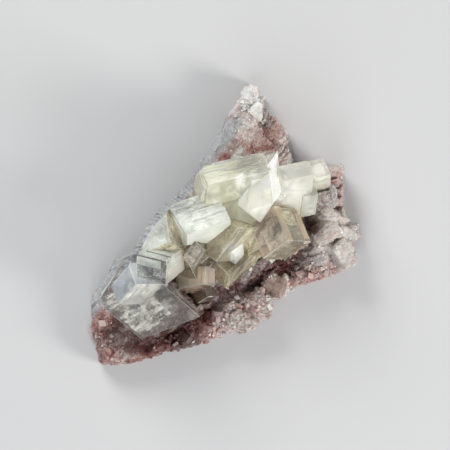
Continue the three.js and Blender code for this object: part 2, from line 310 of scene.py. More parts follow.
@dataclass
class Nodes:
    """A node tree being filled."""

    tree: bpy.types.NodeTree

    def add(self, kind: str, inputs: dict | None = None, **settings: object) -> bpy.types.Node:
        """Adds a node.

        Args:
            kind: node type without the ShaderNode in front.
            inputs: values or output sockets for its inputs, by name or number.
            settings: properties of the node.

        Returns:
            The node.
        """
        node = self.tree.nodes.new("ShaderNode" + kind if kind[:4] != "Node" else kind)
        for key, value in settings.items():
            setattr(node, key, value)
        for key, value in (inputs or {}).items():
            if isinstance(value, bpy.types.NodeSocket):
                self.tree.links.new(value, node.inputs[key])
            else:
                node.inputs[key].default_value = value
        return node

    def math(self, operation: str, a: object, b: object = 0.0, clamp: bool = False) -> bpy.types.NodeSocket:
        """Result of one sum on two values or sockets."""
        return self.add("Math", {0: a, 1: b}, operation=operation, use_clamp=clamp).outputs[0]

    def remap(self, value: object, low: float, high: float, to_low: object = 0.0,
              to_high: object = 1.0) -> bpy.types.NodeSocket:
        """Value stretched smoothly from the range low..high to another."""
        return self.add("MapRange", {"Value": value, "From Min": low, "From Max": high, "To Min": to_low,
                                     "To Max": to_high}, interpolation_type="SMOOTHSTEP").outputs[0]

    def mix(self, share: object, a: object, b: object, blend: str = "MIX") -> bpy.types.NodeSocket:
        """Colour a turning into colour b by a share."""
        first, second = ((*c, 1.0) if isinstance(c, tuple) else c for c in (a, b))
        return self.add("Mix", {0: share, 6: first, 7: second}, data_type="RGBA", blend_type=blend).outputs[2]

    def use(self, group: bpy.types.NodeTree, inputs: dict) -> bpy.types.Node:
        """Places a shader group in a material."""
        return self.add("Group", inputs, node_tree=group)

    def bump(self, height: bpy.types.NodeSocket, strength: float) -> bpy.types.NodeSocket:
        """Normal of a surface roughened by heights, of which 1 stands for 0.3 mm."""
        return self.add("Bump", {"Height": height, "Strength": strength, "Distance": 0.0003}).outputs[0]

    def finish(self, surface: bpy.types.NodeSocket, volume: bpy.types.NodeSocket | None = None) -> None:
        """Ends a material with its surface and what fills it."""
        self.add("OutputMaterial", {"Surface": surface} | ({"Volume": volume} if volume else {}))


def new_material(name: str) -> tuple[bpy.types.Material, Nodes, bpy.types.NodeSocket]:
    """An empty material, its nodes and the place on the piece, in the object's own coordinates.

    Args:
        name: name of the material.

    Returns:
        The material, its nodes and the place.
    """
    material = bpy.data.materials.new(name)
    material.use_nodes = True
    nodes = Nodes(material.node_tree)
    nodes.tree.nodes.clear()
    return material, nodes, nodes.add("TexCoord").outputs["Object"]


def new_group(name: str, inputs: dict[str, float], outputs: tuple[str, ...]) -> tuple[Nodes, dict, dict]:
    """An empty node group that works on a place and some numbers, and gives numbers.

    Args:
        name: name of the group.
        inputs: default of each input besides the place.
        outputs: names of the outputs.

    Returns:
        The nodes, the input sockets by name and the output node's sockets by name.
    """
    tree = bpy.data.node_groups.new(name, "ShaderNodeTree")
    tree.interface.new_socket("Place", in_out="INPUT", socket_type="NodeSocketVector")
    for key, default in inputs.items():
        tree.interface.new_socket(key, in_out="INPUT", socket_type="NodeSocketFloat").default_value = default
    for key in outputs:
        tree.interface.new_socket(key, in_out="OUTPUT", socket_type="NodeSocketFloat")
    nodes = Nodes(tree)
    start, end = nodes.add("NodeGroupInput"), nodes.add("NodeGroupOutput")
    return nodes, {s.name: s for s in start.outputs}, {s.name: s for s in end.inputs}


def clouds_group() -> bpy.types.NodeTree:
    """Soft patches: broad noise pushed about by itself, cut to the wanted share of the surface.

    Returns:
        The group.
    """
    nodes, given, out = new_group("Soft Patches", {"Scale": 200.0, "Amount": 0.5, "Edge": 0.2}, ("Mask",))
    cloud = nodes.add("TexNoise", {"Vector": given["Place"], "Scale": given["Scale"], "Detail": 5.0,
                                   "Roughness": 0.6, "Distortion": 0.6})
    middle = nodes.math("SUBTRACT", 1.0, given["Amount"])
    low = nodes.math("SUBTRACT", middle, given["Edge"])
    high = nodes.math("ADD", middle, given["Edge"])
    nodes.tree.links.new(nodes.remap(cloud.outputs[0], low, high), out["Mask"])
    return nodes.tree


def grain_group() -> bpy.types.NodeTree:
    """Growth lines of a crystal face: noise drawn out along one edge direction, with small pits.

    Returns:
        The group.
    """
    nodes, given, out = new_group("Growth Lines", {"Spacing": 8.0, "Pits": 0.3}, ("Height", "Streaks"))
    drawn = nodes.add("VectorMath", {0: given["Place"], 1: (0.12, 1.0, 1.0)}, operation="MULTIPLY")
    lines = nodes.add("TexNoise", {"Vector": drawn.outputs[0], "Scale": given["Spacing"], "Detail": 4.0,
                                   "Roughness": 0.65})
    terrace = nodes.math("SNAP", lines.outputs[0], 0.06)
    pitch = nodes.math("MULTIPLY", given["Spacing"], 1.7)
    pits = nodes.add("TexVoronoi", {"Vector": given["Place"], "Scale": pitch}, distance="CHEBYCHEV")
    hollow = nodes.math("MULTIPLY", nodes.remap(pits.outputs["Distance"], 0.0, 0.25, 1.0, 0.0), given["Pits"])
    raised = nodes.math("ADD", terrace, nodes.math("MULTIPLY", lines.outputs[0], 0.5))
    nodes.tree.links.new(nodes.math("SUBTRACT", raised, hollow), out["Height"])
    nodes.tree.links.new(nodes.remap(lines.outputs[0], 0.5, 0.68), out["Streaks"])
    return nodes.tree


def sugar_group() -> bpy.types.NodeTree:
    """Fine crystalline sugar: small cells with a scattered height and paleness each.

    Returns:
        The group.
    """
    nodes, given, out = new_group("Sugar Grains", {"Scale": 900.0}, ("Height", "Pale"))
    cells = nodes.add("TexVoronoi", {"Vector": given["Place"], "Scale": given["Scale"]}, feature="F1")
    finer = nodes.math("MULTIPLY", given["Scale"], 2.3)
    fine = nodes.add("TexNoise", {"Vector": given["Place"], "Scale": finer, "Detail": 3.0})
    tip = nodes.math("SUBTRACT", 1.0, cells.outputs["Distance"])
    nodes.tree.links.new(nodes.math("ADD", tip, nodes.math("MULTIPLY", fine.outputs[0], 0.4)), out["Height"])
    split = nodes.add("SeparateColor", {0: cells.outputs["Color"]})
    nodes.tree.links.new(nodes.remap(split.outputs[0], 0.45, 1.0), out["Pale"])
    return nodes.tree


# Milky stretches of the large crystals, with painted highlights where strongest, and darker stretches of
# painted shade: centre and radius in mm, seen from above, and strength.
MILK_AND_HIGHLIGHTS = (
    ((-21, -7), 4.5, 0.8), ((-13, 0.8), 3.2, 0.85), ((-7.5, 0.8), 3.2, 0.85), ((-2.5, 3.5), 3.8, 0.85),
    ((-6, -3.5), 5, 0.4), ((-2.5, 15.8), 4.2, 0.6), ((4.5, 13), 2.4, 1.0), ((10.5, 6), 4, 0.75),
    ((14.4, 18.5), 2.5, 1.0), ((13.8, 13), 2.6, 1.0), ((10, 12), 4.5, 0.9), ((4.5, 9.5), 3, 0.5),
    ((4.2, 2.6), 3, 0.35), ((20, 9), 4.8, 0.9), ((29, 16.5), 3, 0.5), ((2.5, -7), 2.6, 1.0),
    ((-14, -12), 3.8, 0.7), ((-31, -15), 4.5, 0.5), ((-28, -21), 5, 0.2),
)
# Darker stretches: painted shade.
PAINTED_SHADE = (
    ((13.5, -1), 4.5, 0.5), ((17, -6), 5, 0.3), ((-17, -19.5), 3.8, 0.8), ((-21, -12), 3.2, 0.6),
    ((7, 17.3), 4.2, 0.7), ((-6, -8.5), 5, 1.0), ((-14, 4.5), 3.8, 0.4), ((4, -13.5), 4.5, 0.9),
    ((-4, -20.5), 4, 1.0), ((-11, -16), 4, 0.4), ((-15, -27), 4, 0.4), ((-24, -26), 4, 0.3),
    ((25.3, 10), 2.6, 0.6),
)
ZONE_CORE, ZONE_END = 0.5, 1.3  # shares of the radius within which a zone is full and beyond which it ends
WISP_SCALE = 330.0  # of the noise that tears the edges of the zones


def zones_group() -> bpy.types.NodeTree:
    """Milky stretches with painted highlights, and stretches of painted shade: each is a round bell about its
    centre, with edges torn by noise.

    Returns:
        The group.
    """
    nodes, given, out = new_group("Milk Highlight Shade Zones", {"Torn": 0.004}, ("MilkAndHighlights", "PaintedShade"))
    wisps = nodes.add("TexNoise", {"Vector": given["Place"], "Scale": WISP_SCALE, "Detail": 4.0,
                                   "Roughness": 0.65})
    shift = nodes.add("VectorMath", {0: wisps.outputs["Color"], 1: (0.5, 0.5, 0.5)}, operation="SUBTRACT")
    pushed = nodes.add("VectorMath", {0: shift.outputs[0], "Scale": given["Torn"]}, operation="SCALE")
    moved = nodes.add("VectorMath", {0: given["Place"], 1: pushed.outputs[0]}, operation="ADD")
    flat = nodes.add("VectorMath", {0: moved.outputs[0], 1: (1.0, 1.0, 0.0)}, operation="MULTIPLY")
    for name, zones in (("MilkAndHighlights", MILK_AND_HIGHLIGHTS), ("PaintedShade", PAINTED_SHADE)):
        total = 0.0
        for centre, radius, strength in zones:
            away = nodes.add("VectorMath", {0: flat.outputs[0], 1: (centre[0] * MM, centre[1] * MM, 0.0)},
                             operation="DISTANCE")
            core, end = ZONE_CORE * radius * MM, ZONE_END * radius * MM
            bell = nodes.remap(away.outputs["Value"], core, end, strength, 0.0)
            total = nodes.math("MAXIMUM", total, bell)
        nodes.tree.links.new(total, out[name])
    return nodes.tree


@dataclass
class Effects:
    """The shader groups that several finishes share."""

    zones: bpy.types.NodeTree = field(default_factory=zones_group)
    clouds: bpy.types.NodeTree = field(default_factory=clouds_group)
    grain: bpy.types.NodeTree = field(default_factory=grain_group)
    sugar: bpy.types.NodeTree = field(default_factory=sugar_group)


# ---- finishes -------------------------------------------------------------------------------------


LINE_SPACING = 9.0  # of the growth lines, over a tenth of a millimetre along the face's edges
SHADE_LEFT = 0.45  # share of the body's colour left in full painted shade
HIGHLIGHT_STRENGTHS, HIGHLIGHT_WHITE = (0.78, 1.05), linear(252, 252, 246)  # strengths between which milk turns into a pure white painted highlight
SWELL_SCALE, SWELL_HEIGHT = 260.0, 4.0  # of the broad swells below the growth lines


@dataclass(frozen=True)
class CalciteFinish:
    """A clear or cloudy calcite: what it looks like and how much light it lets through.

    Its body and its haze are display colours from 0 to 255.
    """

    name: str
    body: Triple
    haze: Triple
    transmission: float
    haze_share: float = 0.4
    roughness: float = 0.05
    haze_roughness: float = 0.35
    bump: float = 0.25
    tint: Triple = (0.93, 0.92, 0.76)
    density: float = 45.0
    scale: float = 140.0
    passed: Triple = (0.955, 0.95, 0.92)
    soft: float = 0.6
    streaks: float = 0.35

    def material(self, effects: Effects) -> bpy.types.Material:
        """Builds the material.

        Args:
            effects: the shared shader groups.

        Returns:
            The material.
        """
        material, nodes, place = new_material(self.name)
        body, haze = linear(*self.body), linear(*self.haze)
        face = nodes.add("UVMap", uv_map="face_edges").outputs[0]
        patches = nodes.use(effects.clouds, {"Place": place, "Scale": self.scale, "Amount": self.haze_share})
        zones = nodes.use(effects.zones, {"Place": place})
        lines = nodes.use(effects.grain, {"Place": face, "Spacing": LINE_SPACING})
        streaky = nodes.math("MAXIMUM", nodes.math("MULTIPLY", patches.outputs["Mask"], 0.6),
                             nodes.math("MULTIPLY", lines.outputs["Streaks"], self.streaks))
        milk_with_highlights = nodes.math("ADD", streaky, zones.outputs["MilkAndHighlights"], True)
        # Painted shade darkens the body in the shade zones.
        shade_darkened = nodes.mix(zones.outputs["PaintedShade"], body, tuple(SHADE_LEFT * c for c in body))
        cloudy = nodes.mix(milk_with_highlights, shade_darkened, haze)
        # Where milk is strongest it turns pure white: painted highlight.
        colour = nodes.mix(nodes.remap(zones.outputs["MilkAndHighlights"], *HIGHLIGHT_STRENGTHS), cloudy, HIGHLIGHT_WHITE)
        rough = nodes.remap(streaky, 0.0, 1.0, self.roughness, self.haze_roughness)
        swell = nodes.add("TexNoise", {"Vector": place, "Scale": SWELL_SCALE, "Detail": 2.0})
        swollen = nodes.math("MULTIPLY", swell.outputs[0], SWELL_HEIGHT)
        height = nodes.math("ADD", lines.outputs["Height"], swollen)
        skin = nodes.add("BsdfPrincipled", {
            "Base Color": colour, "Roughness": rough, "Normal": nodes.bump(height, self.bump), "IOR": 1.6,
            "Transmission Weight": self.transmission, "Metallic": 0.0, "Subsurface Weight": self.soft,
            "Subsurface Radius": (1.0, 1.0, 0.85), "Subsurface Scale": 0.0025})
        shadow = nodes.add("LightPath").outputs["Is Shadow Ray"]
        let_by = nodes.add("BsdfTransparent", {"Color": (*self.passed, 1.0)})
        surface = nodes.add("MixShader", {0: shadow, 1: skin.outputs[0], 2: let_by.outputs[0]})
        inside = nodes.add("VolumeAbsorption", {"Color": (*self.tint, 1.0), "Density": self.density})
        nodes.finish(surface.outputs[0], inside.outputs[0])
        return material


@dataclass(frozen=True)
class VeilFinish:
    """White wisps of healed cracks inside the crystals."""

    name: str
    colour: Triple
    share: float
    scale: float
    most: float
    heading: float = 1.08
    drawn_out: float = 4.0

    def material(self, effects: Effects) -> bpy.types.Material:
        """Builds the material: a pale skin with wispy alpha.

        Args:
            effects: the shared shader groups.

        Returns:
            The material.
        """
        material, nodes, place = new_material(self.name)
        along = nodes.add("Mapping", {"Vector": place, "Rotation": (0.0, 0.0, self.heading),
                                      "Scale": (self.drawn_out, 1.0, 1.0)}, vector_type="TEXTURE")
        wisps = nodes.use(effects.clouds, {"Place": along.outputs[0], "Scale": self.scale,
                                           "Amount": self.share, "Edge": 0.14})
        alpha = nodes.math("MULTIPLY", wisps.outputs["Mask"], self.most)
        skin = nodes.add("BsdfPrincipled", {
            "Base Color": (*self.colour, 1.0), "Roughness": 0.4, "Alpha": alpha})
        nodes.finish(skin.outputs[0])
        return material


RED_STAIN, DULL_GRAIN = (0.62, 0.42, 0.40), (0.5, 0.44, 0.42)  # what stains and dull grains leave of a tint


@dataclass(frozen=True)
class StoneFinish:
    """Opaque rock or small crystals, coloured by the tints stored on the mesh."""

    name: str
    roughness: float
    scale: float
    bump: float
    darker: float
    coat: float = 0.0
    gloss: float = 0.35

    def material(self, effects: Effects) -> bpy.types.Material:
        """Builds the material.

        Args:
            effects: the shared shader groups.

        Returns:
            The material.
        """
        material, nodes, place = new_material(self.name)
        tint = nodes.add("Attribute", attribute_name="tint").outputs["Color"]
        grains = nodes.use(effects.sugar, {"Place": place, "Scale": self.scale})
        stains = nodes.use(effects.clouds, {"Place": place, "Scale": 420.0, "Amount": 0.42, "Edge": 0.1})
        share = nodes.math("MULTIPLY", stains.outputs["Mask"], 0.35)
        stained = nodes.mix(share, tint, RED_STAIN, "MULTIPLY")
        dull = nodes.math("MULTIPLY", nodes.math("SUBTRACT", 1.0, grains.outputs["Pale"]), self.darker)
        colour = nodes.mix(dull, stained, DULL_GRAIN, "MULTIPLY")
        rough = nodes.remap(grains.outputs["Pale"], 0.0, 1.0, self.roughness, self.roughness * 0.5)
        normal = nodes.bump(grains.outputs["Height"], self.bump)
        skin = nodes.add("BsdfPrincipled", {
            "Base Color": colour, "Roughness": rough, "Normal": normal,
            "Coat Weight": self.coat, "Coat Roughness": 0.15, "Specular IOR Level": self.gloss,
            "Subsurface Weight": 0.5, "Subsurface Radius": (1.0, 0.6, 0.5), "Subsurface Scale": 0.0012})
        nodes.finish(skin.outputs[0])
        return material


class Calcite(Enum):
    """The finishes that crystal faces can have."""

    CHAMPAGNE = CalciteFinish("champagne_calcite", (211, 211, 191), (225, 227, 214), 0.55,
                              tint=(0.95, 0.95, 0.88), density=110.0, streaks=0.12)
    OLIVE = CalciteFinish("olive_calcite", (228, 221, 193), (242, 237, 214), 0.8, 0.3,
                          tint=(0.945, 0.93, 0.845), density=68.0, soft=0.0)
    DUSK = CalciteFinish("dusky_calcite", (166, 154, 132), (194, 182, 160), 0.75, 0.2,
                         tint=(0.855, 0.815, 0.73), density=150.0, soft=0.0)
    HONEY = CalciteFinish("honey_calcite", (232, 212, 180), (244, 232, 208), 0.6, 0.5,
                          tint=(0.965, 0.94, 0.88), density=36.0, soft=0.3)
    SMOKY = CalciteFinish("smoky_calcite", (232, 218, 196), (244, 233, 214), 0.76, 0.3,
                          tint=(0.955, 0.92, 0.86), density=38.0, soft=0.0)
    GREY = CalciteFinish("grey_calcite", (214, 213, 210), (232, 232, 229), 0.92, 0.16,
                         tint=(0.88, 0.875, 0.865), density=150.0, passed=(0.93, 0.925, 0.92), soft=0.0)
    PALE = CalciteFinish("pale_calcite", (228, 231, 222), (244, 246, 240), 0.35, 0.4,
                         tint=(0.95, 0.96, 0.93), density=60.0)
    CLEAR = CalciteFinish("clear_calcite", (226, 226, 219), (244, 244, 239), 0.65, 0.4,
                          tint=(0.96, 0.96, 0.94), density=50.0, soft=0.2)
    BROKEN = CalciteFinish("broken_calcite", (188, 191, 192), (232, 235, 236), 0.2, 0.5,
                           roughness=0.35, haze_roughness=0.6, bump=0.8)
    MILKY = CalciteFinish("milky_calcite", (238, 237, 218), (252, 252, 236), 0.32, 0.5,
                          tint=(0.96, 0.96, 0.92), density=40.0)
    CREAM = CalciteFinish("cream_calcite", (216, 214, 200), (238, 238, 228), 0.45, 0.5,
                          tint=(0.96, 0.95, 0.91), density=60.0)
    FROST = CalciteFinish("frosted_calcite", (182, 187, 178), (224, 229, 222), 0.3, 0.4,
                          roughness=0.3, haze_roughness=0.5, bump=0.8)
    BLUISH = CalciteFinish("bluish_calcite", (180, 184, 188), (206, 210, 212), 0.5, 0.45,
                           tint=(0.95, 0.96, 0.97), density=50.0, passed=(0.93, 0.94, 0.95))
    PEACH = CalciteFinish("peach_calcite", (224, 205, 180), (238, 224, 204), 0.5, 0.4,
                          tint=(0.95, 0.91, 0.86), density=90.0, roughness=0.12)
    TAN = CalciteFinish("tan_calcite", (194, 182, 158), (216, 206, 184), 0.74, 0.3,
                        tint=(0.93, 0.9, 0.82), density=90.0, soft=0.0)
    UMBER = CalciteFinish("umber_calcite", (166, 143, 122), (194, 172, 150), 0.6, 0.35, roughness=0.34,
                          tint=(0.9, 0.82, 0.76), density=160.0, haze_roughness=0.5, bump=0.08)
    ROSY = CalciteFinish("rosy_calcite", (118, 90, 80), (180, 164, 154), 0.1, 0.5, scale=650.0,
                         tint=(0.94, 0.88, 0.86), density=60.0, roughness=0.5, haze_roughness=0.6, bump=1.2)
    # Near-white finish of the crown's face towards the side lamp: painted highlight.
    STRIP = CalciteFinish("painted_highlight_calcite", (236, 238, 232), (252, 253, 250), 0.1, 0.6,
                          roughness=0.2, bump=0.4)
    # Whiter edges: partly wear, partly painted highlight.
    EDGE = CalciteFinish("edge_wear_and_highlight", (212, 211, 198), (240, 239, 228), 0.3, 0.4,
                         roughness=0.15, haze_roughness=0.4, bump=0.1)


class Side(Enum):
    """Directions that pick out one face of a crystal."""

    TOP = (0.0, 0.0, 1.0)
    NORTH = (0.0, 1.0, 0.4)
    SOUTH = (0.0, -1.0, 0.4)
    EAST = (1.0, 0.0, 0.4)
    WEST = (-1.0, 0.0, 0.4)


# ---- large crystals -------------------------------------------------------------------------------

POLAR_ANGLE = 101.9  # degrees between two edges at the blunt corner of a calcite rhomb
DROP = np.arcsin(np.sqrt((1 - np.cos(np.radians(POLAR_ANGLE))) / 1.5))
EDGES = np.array([[np.sin(DROP) * np.cos(np.radians(turn)), np.sin(DROP) * np.sin(np.radians(turn)),
                   -np.cos(DROP)] for turn in (90, 210, 330)])
ROOT = 5.0  # height at which every large crystal ends inside the rock
BREAK_OUT = np.array([-0.799, 0.601, 0.105])  # outward direction of the broken side
BREAK_FROM = 18.7  # its distance at the back
RIDGE = 0.5  # height scale of the narrow strips on ridged faces
EDGE_BAND = 0.8  # how near to two outer faces an edge lies that is whitened for wear and as a painted highlight
EDGE_TURN = 0.04  # how far a face has to be turned from its crystal's side to count as an edge, whitened for wear and as a painted highlight
INSET = 0.3  # how far a crystal's core lies below its highest growth plates
SUNK = 1.0  # how far a growth plate reaches into the core
OVERHANG = 0.6  # share of its height that a plate stands out past the edge of the core
PLATE_RADIUS, STRIP_RADIUS = 0.07, 0.06  # of the edges of growth plates and narrow strips
OTHERS = ((1, 2), (0, 2), (0, 1))  # the other two axes of each axis


@dataclass(frozen=True)
class Rhomb:
    """One rhomb of calcite with its growth plates."""

    at: Triple
    edges: Triple
    lean: float
    heading: float
    spin: float
    finish: Calcite
    faces: tuple[tuple[Side, Calcite], ...] = ()
    plates: int = 2
    lamellae: tuple[tuple[Side, int], ...] = ()
    blunt: tuple[Triple, float] | None = None
    veils: int = 0
    phantoms: int = 2

    def directions(self) -> np.ndarray:
        """Unit vectors along the three edges, one a row."""
        return EDGES @ rotations(self.lean, self.heading, self.spin).T

    def normals(self) -> np.ndarray:
        """Outward normals of the three faces at the positive ends of the edges.

        Returns:
            One normal a row.
        """
        d = self.directions()
        n = unit(np.cross(np.roll(d, -1, 0), np.roll(d, -2, 0)))
        return n * np.sign(np.sum(n * d, 1))[:, None]

    def place(self, q: np.ndarray) -> np.ndarray:
        """Places of points given in millimetres along the three edges from the centre."""
        return np.array(self.at) + q @ self.directions()

    def along(self, points: np.ndarray) -> np.ndarray:
        """Millimetres along the three edges from the centre, for points in the specimen."""
        return (points - np.array(self.at)) @ np.linalg.inv(self.directions())

    def span(self, x: np.ndarray, y: np.ndarray) -> tuple[np.ndarray, np.ndarray]:
        """Heights at which an upright line through each place enters and leaves the rhomb.

        The line moves evenly along each of the three edge directions, so it is between two opposite
        faces for one stretch of heights, and inside the rhomb where the three stretches overlap.

        Args:
            x, y: places.

        Returns:
            Lower and upper heights; the lower is above the upper where the line misses the rhomb.
        """
        inverse = np.linalg.inv(self.directions())
        start = (np.stack([x, y, 0 * x], -1) - np.array(self.at)) @ inverse
        ends = np.sort([(np.array(self.edges) / 2 * sign - start) / inverse[2] for sign in (-1, 1)], axis=0)
        return ends[0].max(-1), ends[1].min(-1)

    def face(self, side: Side) -> tuple[int, int]:
        """The edge axis and end of the face that looks most the side's way.

        Args:
            side: direction that picks the face.

        Returns:
            Number of the axis, and 1 or -1 for its end.
        """
        match = self.normals() @ unit(np.array(side.value))
        axis = int(np.argmax(np.abs(match)))
        return axis, int(np.sign(match[axis]))

    def visible(self) -> list[tuple[int, int]]:
        """Edge axis and end of each face that looks up at least a little."""
        z = self.normals()[:, 2]
        return [(axis, int(np.sign(z[axis]))) for axis in range(3)]

    def core(self) -> tuple[np.ndarray, np.ndarray]:
        """Low and high corner of the core: the rhomb with its visible faces set back.

        Returns:
            Both corners, along the edges.
        """
        half = np.array(self.edges) / 2
        low, high = -half, half.copy()
        for axis, end in self.visible():
            if end > 0:
                high[axis] -= INSET
            else:
                low[axis] += INSET
        return low, high

    def growth_plates(self, seed: float) -> tuple[np.ndarray, np.ndarray, np.ndarray]:
        """Flat plates stacked over the visible faces, each anchored at a corner of its face.

        A later plate stands higher and covers less. On a face with lamellae, narrow strips that run
        along one edge cover it as well, each with a scattered height, width and length.

        Args:
            seed: number that sets the scatter.

        Returns:
            Low corners, high corners and edge radii.
        """
        low, high = self.core()
        strips = {self.face(side): count for side, count in self.lamellae}
        lows, highs, radii = [], [], []

        def lay(axis: int, end: int, height: float, spans: list[tuple[float, float]],
                radius: float) -> None:
            """Adds one plate.

            Args:
                axis, end: its face.
                height: how far it stands over the core.
                spans: its start and stop along the face's two edges, as shares of them.
                radius: of its edges.
            """
            a, b = low.copy(), high.copy()
            for other, (start, stop) in zip(OTHERS[axis], spans):
                size = high[other] - low[other]
                a[other] = low[other] + start * size
                b[other] = low[other] + stop * size
                a[other] -= OVERHANG * height if start <= 0 else 0
                b[other] += OVERHANG * height if stop >= 1 else 0
            if end > 0:
                a[axis], b[axis] = high[axis] - SUNK, high[axis] + height
            else:
                a[axis], b[axis] = low[axis] - height, low[axis] + SUNK
            lows.append(a)
            highs.append(b)
            radii.append(radius)

        for axis, end in self.visible():
            key = seed + axis * 7.3 + end
            for k in range(self.plates):
                r = scatter(key + np.arange(6) * 0.37 + k * 3.1)
                height = INSET * (k + 1) / self.plates * (0.8 + 0.2 * r[4])
                cover = 1 - (k + 0.3) / (self.plates + 0.6) * (0.5 + 0.5 * r[5])
                spans = [(0.0, min(1.0, cover + 0.3 * r[0])), (0.0, min(1.0, cover + 0.3 * r[1]))]
                spans = [(1 - stop, 1.0) if flip > 0.5 else (0.0, stop)
                         for (_, stop), flip in zip(spans, r[2:4])]
                lay(axis, end, height, spans, PLATE_RADIUS)
            count = strips.get((axis, end), 0)
            for k in range(count):
                r = scatter(key + 50 + np.arange(6) * 0.41 + k * 2.3)
                width = (0.6 + 1.2 * r[0]) / count
                start = min(max((k + 0.8 * r[1]) / count, 0.0), 1 - width)
                length = 0.3 + 0.7 * r[2]
                run = (0.0, length) if r[3] > 0.5 else (1 - length, 1.0)
                height = RIDGE * (0.3 + 0.9 * r[4])
                lay(axis, end, height, [run, (start, start + width)], STRIP_RADIUS)
        return np.array(lows), np.array(highs), np.array(radii)

    def boxes(self, seed: float) -> list[bpy.types.Object]:
        """The core and the growth plates as separate closed bodies.

        The core's edges are rounded by a little more the larger it is, and no edge by more than its
        share of the body's least side.

        Args:
            seed: number that sets the scatter of the plates.

        Returns:
            The core first, then the plates.
        """
        least, more, most = 0.1, 0.01, 0.3
        low, high = self.core()
        lows, highs, radii = self.growth_plates(seed)
        lows = np.concatenate([low[None], lows])
        highs = np.concatenate([high[None], highs])
        wanted = np.concatenate([[least + more * sum(self.edges) / 3], radii])
        points = self.place(rounded_boxes(lows, highs, np.minimum(wanted, (highs - lows).min(1) * most)))
        quads = shell_grid(4)[1]
        if np.linalg.det(self.directions()) < 0:
            quads = quads[:, ::-1]
        return [new_object(new_mesh("box", p, quads)) for p in points]

    def sheets(self, lows: list[np.ndarray], highs: list[np.ndarray]) -> np.ndarray:
        """Thin sheets between opposite corners, as arrays of sheet, vertex and axis."""
        low, high = np.array(lows)[:, None], np.array(highs)[:, None]
        return self.place(np.where(shell_grid(2)[0][None] == 1, high, low))

    def phantoms_inside(self, seed: float) -> np.ndarray:
        """Sheets a little below each visible face, each over a part of it that starts at a corner.

        Args:
            seed: number that sets the scatter.

        Returns:
            Array of sheet, vertex and axis.
        """
        skin, least, thick = 0.7, 0.6, 0.01
        half = np.array(self.edges) / 2
        lows, highs = [], []
        for axis, end in self.visible():
            for k in range(self.phantoms):
                r = scatter(seed + axis * 3.3 + np.arange(8) * 0.61 + k * 4.9)
                span = half * 2 * (0.3 + 0.5 * r[:3])
                start = np.where(r[3:6] > 0.5, half - skin - span, -half + skin)
                a, b = start, start + span
                level = end * (half[axis] - skin - 0.25 * half[axis] * (k + r[6]))
                a[axis], b[axis] = level - thick, level + thick
                lows.append(np.maximum(a, -half + least))
                highs.append(np.minimum(b, half - least))
        return self.sheets(lows, highs)

    def veils_inside(self, seed: float) -> np.ndarray:
        """Sheets anywhere inside the crystal, parallel to its faces.

        Args:
            seed: number that sets the scatter.

        Returns:
            Array of sheet, vertex and axis.
        """
        skin, thick = 0.9, 0.015
        half = np.array(self.edges) / 2 - skin
        lows, highs = [], []
        for k in range(self.veils):
            r = scatter(seed + np.arange(8) * 0.53 + k * 5.7)
            axis = int(r[0] * 3)
            middle = (2 * r[1:4] - 1) * half * 0.45
            size = half * (0.35 + 0.5 * r[4:7])
            a, b = middle - size, middle + size
            level = (2 * r[7] - 1) * half[axis] * 0.8
            a[axis], b[axis] = level - thick, level + thick
            lows.append(np.clip(a, -half, half - 0.1))
            highs.append(np.maximum(np.clip(b, -half, half), lows[-1] + 2 * thick))
        return self.sheets(lows, highs)


C, S = Calcite, Side
